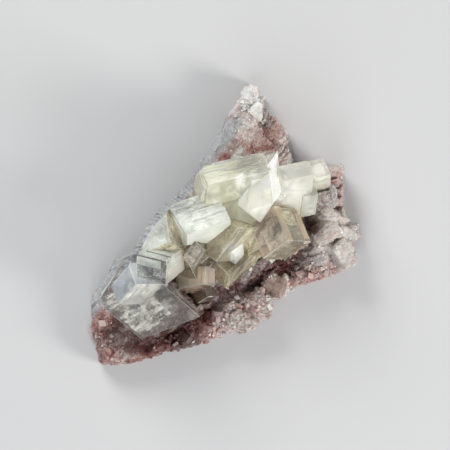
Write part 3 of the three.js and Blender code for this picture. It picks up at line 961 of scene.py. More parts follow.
# Lean, heading and spin of crystals that stand parallel.
EAST_TURN, SOUTHEAST_TURN, WEST_TURN = (34, -135, 53), (26, -34, 52), (38, 36, 31)
RHOMBS = {
    "shelf": Rhomb((-23.5, -22, 13), (19.5, 19.5, 17), 90, -96, 14, C.GREY, veils=6, phantoms=1, plates=3),
    "shelf_cap": Rhomb((-25.5, -17.5, 26.5), (10.5, 7, 10), 14, -94, -3, C.BLUISH, veils=2,
                       faces=((S.SOUTH, C.CLEAR),)),
    "west": Rhomb((-18.5, -10.5, 24), (9, 7, 18.5), *WEST_TURN, C.GREY, veils=3,
                  faces=((S.EAST, C.CREAM), (S.NORTH, C.FROST)), lamellae=((S.NORTH, 10),)),
    "west_plate": Rhomb((-18.49, -8.56, 24.34), (9.1, 3, 18.5), *WEST_TURN, C.FROST, plates=3),
    "west_step": Rhomb((-18.5, -3.5, 22), (11, 9, 12), 30, -20, 20, C.OLIVE, veils=2,
                       faces=((S.TOP, C.FROST),), lamellae=((S.TOP, 12),)),
    "white": Rhomb((-7.5, 1, 23), (14, 11, 9), 33, -131, 57, C.CREAM, veils=3,
                   faces=((S.TOP, C.FROST), (S.SOUTH, C.PALE), (S.WEST, C.PALE)), lamellae=((S.TOP, 16),),
                   blunt=((0.1, -1, 0), 4.9)),
    "crown_left": Rhomb((1.6, 13.1, 30.5), (17, 6, 12), *EAST_TURN, C.CHAMPAGNE, veils=2,
                        lamellae=((S.TOP, 10),)),
    "crown_end": Rhomb((-5, 11.5, 27.5), (6, 7, 12), 38, -140, 50, C.CHAMPAGNE, veils=1),
    # Its milky finish also lightens its front face, which lies in shade: partly painted light.
    "crown_bridge": Rhomb((7.9, 14.3, 30.7), (8.8, 6.3, 12.2), *EAST_TURN, C.MILKY, veils=1,
                          faces=((S.TOP, C.CLEAR),)),
    "crown": Rhomb((11.4, 13.2, 28.6), (12, 9, 10.5), 69, 162, 1, C.CHAMPAGNE, veils=5,
                   # Its east face carries a painted highlight.
                   faces=((S.TOP, C.MILKY), (S.NORTH, C.CLEAR), (S.EAST, C.STRIP))),
    "tooth": Rhomb((9, 7.3, 26.8), (4.5, 10, 7), 62, -12, -55, C.CREAM, veils=2),
    "crown_root": Rhomb((4, 7, 16.5), (12, 13, 12), 40, 70, 25, C.CHAMPAGNE, veils=2),
    "east": Rhomb((20.2, 10.5, 22), (9.5, 5, 20), *EAST_TURN, C.CREAM, veils=4,
                  faces=((S.TOP, C.CLEAR),)),
    "east_step": Rhomb((24.5, 7.4, 18.4), (4.5, 4, 11), *EAST_TURN, C.CLEAR, veils=2),
    "east_root": Rhomb((14.5, 10, 19.5), (8, 8, 12), 50, -60, 10, C.CREAM, veils=2),
    "southeast": Rhomb((16.5, -2.5, 20.5), (11, 9.5, 11), *SOUTHEAST_TURN, C.SMOKY, veils=5, plates=3,
                       faces=((S.EAST, C.OLIVE), (S.SOUTH, C.DUSK))),
    "southeast_rib": Rhomb((17, 0.1, 25.2), (11, 1.4, 2.3), *SOUTHEAST_TURN, C.HONEY, plates=1),
    "southeast_edge": Rhomb((22.9, -1.1, 18.8), (9, 1.2, 2.5), *SOUTHEAST_TURN, C.HONEY, plates=1),
    "southeast_root": Rhomb((15, -3, 14.5), (7.5, 13.5, 17), 41, -24, 33, C.OLIVE, veils=2),
    "middle": Rhomb((-0.5, -2.5, 18.5), (12.5, 17, 10.5), 77, 119, -9, C.OLIVE, veils=2, phantoms=1,
                    plates=3),
    "grey": Rhomb((-6, -7.5, 18.5), (4.5, 6.5, 13.5), 36, -8, 47, C.DUSK, veils=1),
    "pale": Rhomb((2.5, -8, 22.5), (4, 4, 5), 20, -60, 10, C.PALE, plates=2, veils=1),
    "west_root": Rhomb((-11, -8.5, 15), (10, 9, 11), 25, 160, 40, C.DUSK, veils=1),
    "northeast": Rhomb((27.8, 14.7, 17.8), (5, 6, 8), *EAST_TURN, C.CREAM, veils=3,
                       faces=((S.TOP, C.CLEAR),)),
    "south": Rhomb((3.5, -10, 14.5), (6, 10, 15.5), 69, 151, -42, C.TAN, veils=3),
    "tan": Rhomb((-9.5, -16.5, 16), (3.5, 5.5, 14), 27, -109, -14, C.UMBER, veils=2,
                 faces=((S.WEST, C.PEACH),)),
    "low": Rhomb((-7, -20, 10.5), (3, 6.5, 8), 30, -100, 0, C.UMBER, veils=1, plates=2),
    "rim": Rhomb((15.3, -18.3, 9.5), (4.5, 5, 6.5), 35, -60, 20, C.ROSY, plates=4,
                 blunt=((0.1, 0.2, 1), 9.2)),
}


def apply_booleans(thing: bpy.types.Object,
                   steps: list[tuple[str, list[bpy.types.Object]]]) -> bpy.types.Mesh:
    """Joins or cuts a closed body with others, which are used up.

    Args:
        thing: the body to start from.
        steps: operation and its bodies, in order.

    Returns:
        The resulting mesh.
    """
    used = []
    for operation, others in steps:
        if others:
            group = bpy.data.collections.new(operation)
            for other in others:
                group.objects.link(other)
            cut = thing.modifiers.new(operation, "BOOLEAN")
            cut.operation, cut.operand_type, cut.solver = operation, "COLLECTION", "MANIFOLD"
            cut.collection = group
            used.append(group)
    bpy.context.view_layer.update()
    result = bpy.data.meshes.new_from_object(thing.evaluated_get(bpy.context.evaluated_depsgraph_get()))
    for other in [thing, *(o for _, others in steps for o in others)]:
        bpy.data.objects.remove(other)
    for group in used:
        bpy.data.collections.remove(group)
    return result


def beyond(out: np.ndarray, start: float) -> bpy.types.Object:
    """A large closed block that fills everything beyond a plane.

    Args:
        out: direction that the plane faces.
        start: distance of the plane along it, times its length.

    Returns:
        The block.
    """
    size = 120.0
    n = unit(np.array(out, float))
    side = unit(np.cross(n, [0.3, 0.2, 0.9]))
    axes = np.stack([side, np.cross(n, side), n])
    place, quads = shell_grid(2)
    centre = n * (start / np.linalg.norm(out) + size)
    return new_object(new_mesh("beyond", centre + (2 * place - 1) * size @ axes, quads))


def crystal_top(x: np.ndarray, y: np.ndarray) -> np.ndarray:
    """Height of the highest large crystal over each place, and infinity where there is none.

    Args:
        x, y: places.

    Returns:
        Heights.
    """
    best = np.full(np.shape(x), -np.inf)
    for rhomb in RHOMBS.values():
        low, high = rhomb.span(x, y)
        best = np.where((low < high) & (high > best), high, best)
    return np.where(np.isinf(best), np.inf, best)


@dataclass
class CrystalPiece:
    """Rhombs that have grown into one another, as one closed clear body."""

    name: str
    node: str
    slot: str
    members: tuple[str, ...]

    def rhombs(self) -> list[Rhomb]:
        """The rhombs of the piece."""
        return [RHOMBS[name] for name in self.members]

    def body(self) -> bpy.types.Mesh:
        """All members with their growth plates, cut by the broken side and at the root, and joined.

        Returns:
            The closed body.
        """
        parts = []
        for name in self.members:
            rhomb = RHOMBS[name]
            first, *others = rhomb.boxes(float(len(name)) + sum(map(ord, name)) * 0.01)
            cutters = [beyond(BREAK_OUT, BREAK_FROM), beyond(np.array([0, 0, -1.0]), -ROOT)]
            if rhomb.blunt:
                cutters.append(beyond(np.array(rhomb.blunt[0]), rhomb.blunt[1]))
            mesh = apply_booleans(first, [("UNION", others), ("DIFFERENCE", cutters)])
            mesh.name = "part"
            parts.append(new_object(mesh))
        first, *others = parts
        mesh = apply_booleans(first, [("UNION", others)])
        mesh.name = self.name
        return mesh

    def dress(self, mesh: bpy.types.Mesh, materials: dict[Calcite, bpy.types.Material]) -> None:
        """Gives each face its finish and its place along the crystal's edges.

        A face belongs to the rhomb and side whose plane it lies nearest below and whose normal it
        shares best. What is left between two sides is an edge, whitened for wear and as a painted highlight.

        Args:
            mesh: the joined body.
            materials: material of each finish.
        """
        spare, far_off, outside, worst, as_broken = 0.15, 0.15, 3, 9.0, 0.98
        count = len(mesh.polygons)
        centre, normal = read_rows(mesh.polygons, "center") / MM, read_rows(mesh.polygons, "normal")
        best = np.full(count, worst)
        owner, facing = np.zeros(count, int), np.zeros(count, int)
        for number, rhomb in enumerate(self.rhombs()):
            q = rhomb.along(centre)
            half = np.array(rhomb.edges) / 2
            inside = np.all(np.abs(q) < half + spare, 1)
            for axis, end in itertools.product(range(3), (-1, 1)):
                depth = half[axis] - end * q[:, axis]
                turned = 1 - normal @ (rhomb.normals()[axis] * end)
                score = turned + far_off * np.abs(depth) + np.where(inside, 0, outside)
                better = score < best
                best[better], owner[better] = score[better], number
                facing[better] = axis * 2 + (end > 0)
        slots = list(Calcite)
        chosen = np.zeros(count, int)
        for number, rhomb in enumerate(self.rhombs()):
            special = {rhomb.face(side): finish for side, finish in rhomb.faces}
            for axis, end in itertools.product(range(3), (-1, 1)):
                mine = (owner == number) & (facing == axis * 2 + (end > 0))
                chosen[mine] = slots.index(special.get((axis, end), rhomb.finish))
                turned = 1 - normal @ (rhomb.normals()[axis] * end)
                outer = np.array(rhomb.edges) / 2 - np.abs(rhomb.along(centre)) < EDGE_BAND
                # Edges get the whiter finish: wear and painted highlight.
                worn = mine & (turned > EDGE_TURN) & (outer.sum(1) > 1)
                chosen[worn] = slots.index(Calcite.EDGE)
        chosen[normal @ unit(BREAK_OUT) > as_broken] = slots.index(Calcite.BROKEN)
        used = sorted(set(chosen.tolist()))
        mesh.materials.clear()
        for number in used:
            mesh.materials.append(materials[slots[number]])
        mesh.polygons.foreach_set("material_index", np.searchsorted(used, chosen).astype(np.int32))
        self.lay_face_edges(mesh, owner, facing)

    def lay_face_edges(self, mesh: bpy.types.Mesh, owner: np.ndarray, facing: np.ndarray) -> None:
        """Stores, for each face corner, its place along the two edges of its own crystal's face.

        Args:
            mesh: the joined body.
            owner: number of the rhomb that each face belongs to.
            facing: side of that rhomb, as twice the axis plus one for its positive end.
        """
        scale, by_rhomb, by_axis = 0.1, 3.7, 1.3
        loops = len(mesh.loops)
        corner, total = np.zeros(loops, np.int32), np.zeros(len(mesh.polygons), np.int32)
        mesh.loops.foreach_get("vertex_index", corner)
        mesh.polygons.foreach_get("loop_total", total)
        at = (read_rows(mesh.vertices, "co") / MM)[corner]
        owner, facing = np.repeat(owner, total), np.repeat(facing, total)
        place = np.zeros((loops, 2))
        for number, rhomb in enumerate(self.rhombs()):
            q = rhomb.along(at)
            for axis in range(3):
                mine = (owner == number) & (facing // 2 == axis)
                place[mine] = q[mine][:, list(OTHERS[axis])] * scale + number * by_rhomb + axis * by_axis
        layer = mesh.uv_layers.new(name="face_edges")
        layer.data.foreach_set("uv", place.astype(np.float32).ravel())

    def build(self, materials: dict[Calcite, bpy.types.Material]) -> bpy.types.Object:
        """Makes, dresses and keeps the piece.

        Args:
            materials: material of each finish.

        Returns:
            The piece.
        """
        mesh = self.body()
        self.dress(mesh, materials)
        return keep(new_object(mesh), self.node)


PIECES = (
    CrystalPiece("main_crystals", "main_crystal_cluster", "clear_calcite",
                 ("middle", "white", "crown", "crown_left", "crown_bridge", "crown_end", "tooth",
                  "crown_root", "west", "west_plate", "west_step", "west_root", "east", "east_step",
                  "east_root", "southeast", "southeast_rib", "southeast_edge", "southeast_root", "grey",
                  "pale")),
    CrystalPiece("southwest_crystals", "southwest_crystal_pair", "clear_calcite", ("shelf", "shelf_cap")),
    CrystalPiece("northeast_rhomb", "northeast_crystal", "clear_calcite", ("northeast",)),
    CrystalPiece("south_rhomb", "south_crystal", "clear_calcite", ("south",)),
    CrystalPiece("tan_rhomb", "tan_crystal", "tan_calcite", ("tan",)),
    CrystalPiece("low_rhomb", "low_crystal", "tan_calcite", ("low",)),
    CrystalPiece("rim_rhomb", "rim_crystal", "white_calcite", ("rim",)),
)


@dataclass(frozen=True)
class InnerSheets:
    """Thin closed sheets inside all the crystals, as one piece named like its finish."""

    finish: VeilFinish
    inside: Callable[[Rhomb, float], np.ndarray]
    seed: float

    def build(self, effects: Effects) -> bpy.types.Object:
        """Makes and keeps the piece.

        Args:
            effects: the shared shader groups.

        Returns:
            The piece.
        """
        sheets = [self.inside(rhomb, self.seed + number)
                  for number, rhomb in enumerate(RHOMBS.values()) if rhomb.veils]
        mesh = new_mesh(self.finish.name, *repeated(np.concatenate(sheets), shell_grid(2)[1][:, ::-1]))
        mesh.materials.append(self.finish.material(effects))
        return keep(new_object(mesh))


INNER_SHEETS = (
    # Healed cracks.
    InnerSheets(VeilFinish("crystal_veils", linear(248, 248, 240), 0.42, 700.0, 0.8),
                Rhomb.veils_inside, 31.0),
    # Cleavage planes and earlier growth stages, with straight edges.
    InnerSheets(VeilFinish("crystal_phantoms", linear(246, 246, 238), 0.5, 420.0, 0.4),
                Rhomb.phantoms_inside, 77.0),
)


# ---- host rock ------------------------------------------------------------------------------------


@dataclass
class Ground:
    """Surface places that small crystals can stand on, with their outward normals and areas."""

    points: np.ndarray
    normals: np.ndarray
    areas: np.ndarray


def keep_stone(mesh: bpy.types.Mesh, tint: np.ndarray, finish: StoneFinish, effects: Effects,
               replaced: str | None = None) -> bpy.types.Object:
    """Colours a mesh of rock or of small crystals, gives it its finish and keeps it.

    Args:
        mesh: the mesh.
        tint: linear colour of each vertex, one a row.
        finish: its finish.
        effects: the shared shader groups.
        replaced: the node that it stands for.

    Returns:
        The piece.
    """
    layer = mesh.attributes.new("tint", "FLOAT_COLOR", "POINT")
    layer.data.foreach_set("color", np.column_stack([tint, np.ones(len(tint))]).astype(np.float32).ravel())
    mesh.materials.append(finish.material(effects))
    return keep(new_object(mesh), replaced)


class Tone(Enum):
    """Colours of the rock and of the small crystals on it."""

    WHITE = linear(228, 228, 224)
    BONE = linear(198, 194, 187)
    GREY = linear(170, 165, 160)
    WARM = linear(164, 150, 138)
    BLUE_GREY = linear(176, 182, 185)
    PINK = linear(202, 180, 174)
    ROSE = linear(162, 118, 110)
    BROWN = linear(72, 36, 29)
    DARK_RED = linear(68, 12, 8)
    SALMON = linear(150, 92, 74)
    CREAM = linear(206, 198, 190)
    CLEAN = linear(216, 212, 196)
    SHADED = linear(92, 72, 62)


T = Tone
SMOOTH = (T.WHITE, T.BONE, T.CREAM)  # tones of the lumps that are worn smooth
# Stained and clean stretches: centre, radius and tone.
STAINS = (
    ((7.5, 41), 5, T.WHITE), ((6.5, 35), 5.5, T.WHITE), ((12, 34), 2, T.GREY), ((1.5, 30.5), 3, T.GREY),
    ((8, 29), 4, T.PINK), ((14, 28.5), 4, T.ROSE), ((6, 24.5), 3.5, T.PINK), ((10.5, 22.5), 3, T.ROSE),
    ((19, 27.5), 2, T.WHITE), ((18, 20.5), 3.5, T.CREAM), ((0.5, 25.5), 2.5, T.GREY),
    ((-1.5, 20.5), 2.5, T.ROSE), ((3, 20.8), 1.3, T.WHITE), ((33.5, 14), 2.5, T.PINK),
    ((33, 17.5), 3, T.CREAM), ((29, 12), 2, T.ROSE), ((28, 8.5), 3, T.GREY), ((34, 7), 2.5, T.PINK),
    ((31.5, 8), 2.5, T.BLUE_GREY), ((29, 5), 2, T.WARM), ((32, 2.5), 3.5, T.CREAM), ((36, -1), 5, T.BONE),
    ((36, -9), 4, T.BONE), ((33, -4.5), 2.5, T.ROSE), ((30, -3), 3.5, T.CREAM), ((29, -9), 4, T.CREAM),
    ((24, -10), 3.5, T.GREY), ((34, -13.5), 2.5, T.ROSE), ((27, -14.5), 4, T.ROSE),
    ((30, -12), 2, T.CREAM), ((21, -11), 2.5, T.BROWN), ((18.5, -15), 3, T.ROSE),
    ((16, -20), 3.5, T.CREAM), ((9, -23), 3.5, T.PINK), ((12.5, -17.5), 2.5, T.BROWN),
    ((5, -29), 3.5, T.WARM), ((7, -26), 2, T.ROSE), ((0, -28), 3.5, T.PINK), ((-6, -30), 4, T.ROSE),
    # The brown stretches towards the lower left, below the overhanging shelf, are rock colour deepened with
    # painted shade.
    ((-11, -34), 4, T.BROWN), ((-18, -37), 4, T.BROWN), ((-24, -40), 3, T.SALMON),
    ((-31, -33), 6, T.BROWN), ((-34, -39), 4, T.ROSE), ((-31, -41.5), 3, T.WARM),
    ((-27, -36), 4, T.BROWN), ((-37.5, -25), 4, T.ROSE), ((-38, -31), 3, T.ROSE),
)
# Red iron stain in the hollows below the large crystals, made dark there as painted shade: path and half
# width.
RED_SHADE_BANDS = (
    (((-12, -22), (-3, -20), (6, -18.5), (11.5, -14), (17, -11.5), (22.5, -8)), 3.7),
    (((-24, -36), (-15, -33.5), (-8, -29.5), (-3, -25)), 3.0), (((22, 2), (26.5, -1.5)), 2.9),
)


@dataclass
class HostRock:
    """The wedge of rock: a domed top, a steep broken side, a rounded rim and a flat back."""

    core_height: float = 15.0
    dome_power: float = 2.4
    rim_height: float = 8.5
    break_rim: float = 12.5
    break_inset: float = 3.0
    round_inset: float = 2.6
    break_span: tuple[float, float] = (82.0, 206.0)
    jag: float = 0.35
    jags: float = 55
    coat: float = 0.25
    broken_out: float = 0.8
    below_crystals: float = 0.6
    bank_height: float = 6.0
    bank_out: tuple[float, float] = (2.0, 10.0)
    bank_from: tuple[float, float] = (-26.0, -18.0)
    bank_to: tuple[float, float] = (20.0, 28.0)
    crevice: Route = ((-16, -33), (-4, -24.5), (7, -18), (19, -13), (27.5, -4), (26, 1))
    crevice_depth: float = 3.2
    crevice_width: float = 2.6
    spokes: int = 640
    top_rings: int = 96
    ring_power: float = 0.85
    side_rings: int = 26
    outline: Route = (
        (8, 42.4), (6, 40.5), (3.5, 36), (0.5, 32.5), (-1.5, 27), (-4.5, 22.5), (-7, 19), (-9.5, 14),
        (-12, 11), (-16, 7), (-19.5, 4.5), (-23, -1), (-25.5, -4.5), (-28, -9), (-33, -10.5), (-36, -16.5),
        (-40, -21), (-41, -24), (-40, -28.5), (-40.5, -32), (-39, -36), (-39, -39.5), (-37.5, -42),
        (-33.5, -42.5), (-28.5, -42), (-22.5, -40), (-17, -38), (-11, -37), (-5, -34.5), (0, -33),
        (9, -31), (10, -28), (11, -24.5), (12, -22), (16.5, -22), (20, -19.5), (25, -17.5), (31.5, -16),
        (36.5, -12.5), (38.5, -9), (39, -5), (41, -3.5), (41, -1.5), (39.5, 0), (37.5, 0.5), (35.5, 2.5),
        (36, 6), (35.5, 10.5), (36, 15.5), (35, 17.5), (31, 17.5), (25, 17), (20.5, 19), (20, 22),
        (18.5, 24), (19.5, 25.5), (19, 28.5), (18, 29), (15.5, 32), (13, 34.5), (11.5, 36), (12, 39),
        (11, 39.5), (10, 41),
    )

    def reach(self, angle: np.ndarray) -> np.ndarray:
        """Distance from the middle to the outline along each compass angle.

        A ray leaves through the edge whose two corners lie on either side of it, and the crossing divides
        that edge as their distances from the ray do.

        Args:
            angle: compass angles.

        Returns:
            Distances.
        """
        a = np.array(self.outline, float)
        b = np.roll(a, -1, 0)
        flat = np.asarray(angle, float).ravel()
        ray = np.stack([np.cos(flat), np.sin(flat)], -1)
        turn_a = ray[:, :1] * a[:, 1] - ray[:, 1:] * a[:, 0]
        turn_b = ray[:, :1] * b[:, 1] - ray[:, 1:] * b[:, 0]
        crossed = (turn_a <= 0) & (turn_b > 0)
        first = np.argmax(crossed, 1)
        rows = np.arange(len(flat))
        share = turn_a[rows, first] / (turn_a[rows, first] - turn_b[rows, first])
        return np.linalg.norm(a[first] + (b - a)[first] * share[:, None], axis=1).reshape(np.shape(angle))

    def broken(self, angle: np.ndarray) -> np.ndarray:
        """1 on the broken side, 0 elsewhere, blended at both ends.

        Args:
            angle: compass angles.

        Returns:
            Shares.
        """
        soft = 8
        degrees = np.degrees(angle) % 360
        start, stop = self.break_span
        return (smoothstep(degrees, start - soft, start + soft)
                * (1 - smoothstep(degrees, stop - soft, stop + soft)))

    @staticmethod
    def away_from(path: Route, x: np.ndarray, y: np.ndarray) -> np.ndarray:
        """Distance from the nearest stretch of a path.

        Args:
            path: its corners.
            x, y: places.

        Returns:
            Distances.
        """
        place = np.stack([x, y], -1)
        least = np.full(np.shape(x), np.inf)
        for start, stop in zip(path[:-1], path[1:]):
            a, b = np.array(start, float), np.array(stop, float)
            t = np.clip((place - a) @ (b - a) / ((b - a) @ (b - a)), 0, 1)
            least = np.minimum(least, np.linalg.norm(place - a - t[..., None] * (b - a), axis=-1))
        return least

    def height(self, x: np.ndarray, y: np.ndarray, share: np.ndarray, angle: np.ndarray) -> np.ndarray:
        """Height of the top.

        It is a dome from the core down to the rim, a sum of waves, a bank that rises along the
        broken side, and less a bell-shaped groove along the crevice.

        Args:
            x, y: places.
            share: share of the way from the middle to the rim.
            angle: compass angles.

        Returns:
            Heights.
        """
        rim = self.rim_height + (self.break_rim - self.rim_height) * self.broken(angle)
        dome = rim + (self.core_height - rim) * (1 - share**self.dome_power)
        # Waves of about 20, 7 and 4 mm.
        swell = (0.8 * np.sin(0.31 * x + 0.5) * np.cos(0.27 * y) + 0.5 * np.sin(0.72 * x - 0.55 * y)
                 + 0.35 * np.sin(1.3 * y + 0.9 * x))
        out = BREAK_OUT[0] * x + BREAK_OUT[1] * y
        along = BREAK_OUT[1] * x - BREAK_OUT[0] * y
        bank = (self.bank_height * smoothstep(out, *self.bank_out) * smoothstep(along, *self.bank_from)
                * (1 - smoothstep(along, *self.bank_to)))
        across = self.away_from(self.crevice, x, y) / self.crevice_width
        groove = self.crevice_depth * np.exp(-(across**2))
        return dome + swell * (1 - 0.5 * share) + bank - groove

    def bare(self) -> np.ndarray:
        """The smooth surface: out to the rim, down and in again.

        Each spoke reaches the outline, less an inset that is cubic in height on the rounded rim and even
        on the broken side, and its height is that of the top, falling evenly to the back.

        Returns:
            Places as an array of ring, spoke and axis.
        """
        angle = np.linspace(0, 2 * np.pi, self.spokes, endpoint=False)[None]
        top = np.linspace(0, 1, self.top_rings + 1)[1:, None] ** self.ring_power
        down = np.linspace(0, 1, self.side_rings + 1)[1:, None]
        share = np.concatenate([top, np.ones_like(down)])
        down = np.concatenate([np.zeros_like(top), down])
        side = self.broken(angle)
        inset = (self.round_inset * (1 - down) ** 3) * (1 - side) + self.break_inset * (1 - down) * side
        jag = self.jag * noise(np.stack([angle * self.jags, angle * 0, angle * 0], -1), 1.0, 4.0)
        radius = share * (self.reach(angle) + jag - inset - self.coat + self.broken_out * side)
        x, y = radius * np.cos(angle), radius * np.sin(angle)
        z = (1 - down) * self.height(x, y, share + 0 * angle, angle + 0 * share)
        return np.stack([x, y, z], -1)

    def coarseness(self, p: np.ndarray) -> np.ndarray:
        """1 where the coat is blocky, below the large crystals, falling to 0.2 elsewhere.

        Args:
            p: places, last axis x, y and more.

        Returns:
            Shares.
        """
        low = 1 - smoothstep(p[..., 1] - 0.25 * p[..., 0], -16.0, -6.0)
        ends = smoothstep(p[..., 0], 24.0, 31.0) + smoothstep(-p[..., 0], 14.0, 22.0)
        return 0.2 + 0.8 * low * (1 - 0.75 * np.minimum(ends, 1))

    def relief(self, p: np.ndarray, angle: np.ndarray) -> np.ndarray:
        """How far the rough surface stands off the smooth one: lumps, crystal tips and fine grain.

        On the broken side the lumps are drawn out along it, so that they become long ribs.

        Args:
            p: places.
            angle: compass angles.

        Returns:
            Heights along the normal.
        """
        level = 0.4  # of the facets' relief that counts as neither tip nor hollow
        side = self.broken(angle)
        lumps = 0.55 * rough_noise(p, 5.0, 11.0, 4) + 0.3 * rough_noise(p, 1.5, 23.0, 2)
        coarse = self.coarseness(p)
        tips = 1.1 * coarse**2 * (facets(p, 1.8, 5.0) - level) + 0.2 * (facets(p, 0.8, 9.0) - level)
        along = p @ np.array([BREAK_OUT[1], -BREAK_OUT[0], 0.25])
        ribs = np.stack([along * 0.12, p[..., 2], p @ BREAK_OUT * 0.6], -1)
        ribbed = 0.5 * rough_noise(ribs, 1.3, 17.0, 4) + 0.12 * facets(p, 1.1, 21.0)
        return lumps * (1 - 0.4 * side) + tips * (1 - side) + ribbed * side

    def surface(self) -> tuple[np.ndarray, np.ndarray, np.ndarray]:
        """The rough surface.

        Returns:
            Places and outward normals as arrays of ring, spoke and axis, and the relief of each place.
        """
        p = self.bare()
        spoke = np.roll(p, -1, 1) - np.roll(p, 1, 1)
        ring = np.gradient(p, axis=0)
        normal = unit(np.cross(ring, spoke))
        angle = np.arctan2(p[..., 1], p[..., 0])
        relief = self.relief(p, angle)
        fade = smoothstep(p[..., 2], 0.0, 1.2)
        p = p + normal * (relief * fade)[..., None]
        most = np.maximum(crystal_top(p[..., 0], p[..., 1]) - self.below_crystals, 0)
        p[..., 2] = np.clip(p[..., 2], 0, most)
        p[-1, :, 2] = 0
        return p, normal, relief

    def colours(self, p: np.ndarray, hollow: np.ndarray) -> np.ndarray:
        """Colour of each place.

        The stains nearest it are blended, each by a bell of the distance over its radius, after the
        places are moved about by noise so that the stains have ragged edges. Over them come, in this
        order: white sugar in spots, rust on dark places, blue grey on the broken side, the red bands of
        iron stain darkened with painted shade, a pale bed below the large crystals that darkens to the
        lower left, and hollows that are redder with iron stain and darker with painted shade.

        Args:
            p: places, one a row.
            hollow: 0 on tips to 1 in hollows.

        Returns:
            Linear colours, one a row.
        """
        ragged, unstained, narrow = 2.0, 0.12, 1.5
        rust, hollow_stain_and_shade, less_on_break = (0.68, 0.42, 0.36), (0.62, 0.42, 0.4), (0.0, 0.19, 0.22)
        moved = p[:, :2] + ragged * np.stack([rough_noise(p, 4.0, 51.0), rough_noise(p, 4.0, 61.0)], -1)
        total = np.full(len(p), unstained)
        colour = total[:, None] * np.array(T.GREY.value)
        for at, radius, tone in STAINS:
            weight = np.exp(-((np.linalg.norm(moved - np.array(at), axis=1) / radius) ** 2) * narrow)
            colour += weight[:, None] * np.array(tone.value)
            total += weight
        colour /= total[:, None]
        sugar = 0.3 * smoothstep(rough_noise(p, 2.4, 71.0), 0.05, 0.45)
        sugar *= 0.25 + 0.75 * smoothstep(colour.mean(1), 0.05, 0.3)
        colour = blend(colour, sugar, T.WHITE.value)
        dark = 1 - smoothstep(colour.mean(1), 0.3, 0.6)
        rusty = 0.6 * (dark * smoothstep(rough_noise(p, 2.8, 81.0), 0.1, 0.5))[:, None]
        colour *= 1 - rusty * (1 - np.array(rust))
        side = smoothstep(p @ BREAK_OUT, 14.5, 17.0) * (1 - smoothstep(p[:, 1], 28.0, 36.0))
        colour = blend(colour, 0.85 * side, T.BLUE_GREY.value)
        # Red bands below the crystals: iron stain, dark with painted shade.
        colour = blend(colour, 0.92 * self.red_stain_and_shade(moved), T.DARK_RED.value)
        under = (1 - side) * np.isfinite(crystal_top(p[:, 0], p[:, 1]))
        under *= smoothstep(rough_noise(p, 3.0, 91.0), -0.35, 0.1)
        shaded = smoothstep(-p[:, 0] - p[:, 1], 6.0, 26.0)
        bed = blend(np.array(T.CLEAN.value), shaded, T.SHADED.value)
        colour = blend(colour, 0.9 * under, bed)
        # Hollows turn redder with iron stain and darker with painted shade, less on the broken side.
        shade = (hollow * (1 - 0.5 * side))[:, None]
        deep = np.array(hollow_stain_and_shade) + side[:, None] * np.array(less_on_break)
        return colour * (1 - shade * (1 - deep))

    @staticmethod
    def red_stain_and_shade(p: np.ndarray) -> np.ndarray:
        """How dark red each place is, from 0 to 1, iron stain deepened as painted shade: a bell of its
        distance from the red bands.
        """
        return np.max([np.exp(-((HostRock.away_from(path, p[:, 0], p[:, 1]) / width) ** 2))
                       for path, width in RED_SHADE_BANDS], axis=0)

    def coat_tint(self, at: np.ndarray, points: np.ndarray, clean: np.ndarray,
                  size: np.ndarray) -> np.ndarray:
        """Colours of small crystals on the rock: darker at their feet, with stain and painted shade, cleaner
        at their tips.

        Args:
            at: centre of each crystal.
            points: vertices of all crystals, in the same order.
            clean: how white the tip of each crystal is, from 0 to 1.
            size: edge of each crystal.

        Returns:
            Linear colours, one for each vertex.
        """
        foot_stain_and_shade, coarser = np.array([0.92, 0.8, 0.78]), np.array([0.26, 0.48, 0.52])
        copies = len(points) // len(at)
        tip = smoothstep((points[:, 2] - at[:, 2].repeat(copies)) / size.repeat(copies), -0.7, 0.6)
        below = self.colours(at, np.zeros(len(at)))
        base = below.repeat(copies, 0)
        # Feet darker with stain and painted shade, the coarse crystals' most.
        foot = base * (foot_stain_and_shade - self.coarseness(at).repeat(copies)[:, None] ** 2 * coarser)
        light = 0.08 + 0.92 * smoothstep(below.mean(1), 0.06, 0.35)
        # Tips stay dark in the red bands, which carry painted shade.
        clean = (clean * light * (1 - 0.85 * self.red_stain_and_shade(at))).repeat(copies)
        return blend(foot, tip, blend(base, clean, T.WHITE.value))

    def ground(self) -> Ground:
        """The rough top and sides, thinly on the broken side, for small crystals to stand on.

        Returns:
            Its places, with less area where fewer small crystals stand.
        """
        least_height, bared = 1.5, 0.85
        p, normal, _ = self.surface()
        area = np.linalg.norm(np.cross(np.gradient(p, axis=0), np.gradient(p, axis=1)), axis=-1)
        area *= (p[..., 2] > least_height) * (1 - bared * self.broken(np.arctan2(p[..., 1], p[..., 0])))
        return Ground(p.reshape(-1, 3), normal.reshape(-1, 3), area.ravel())

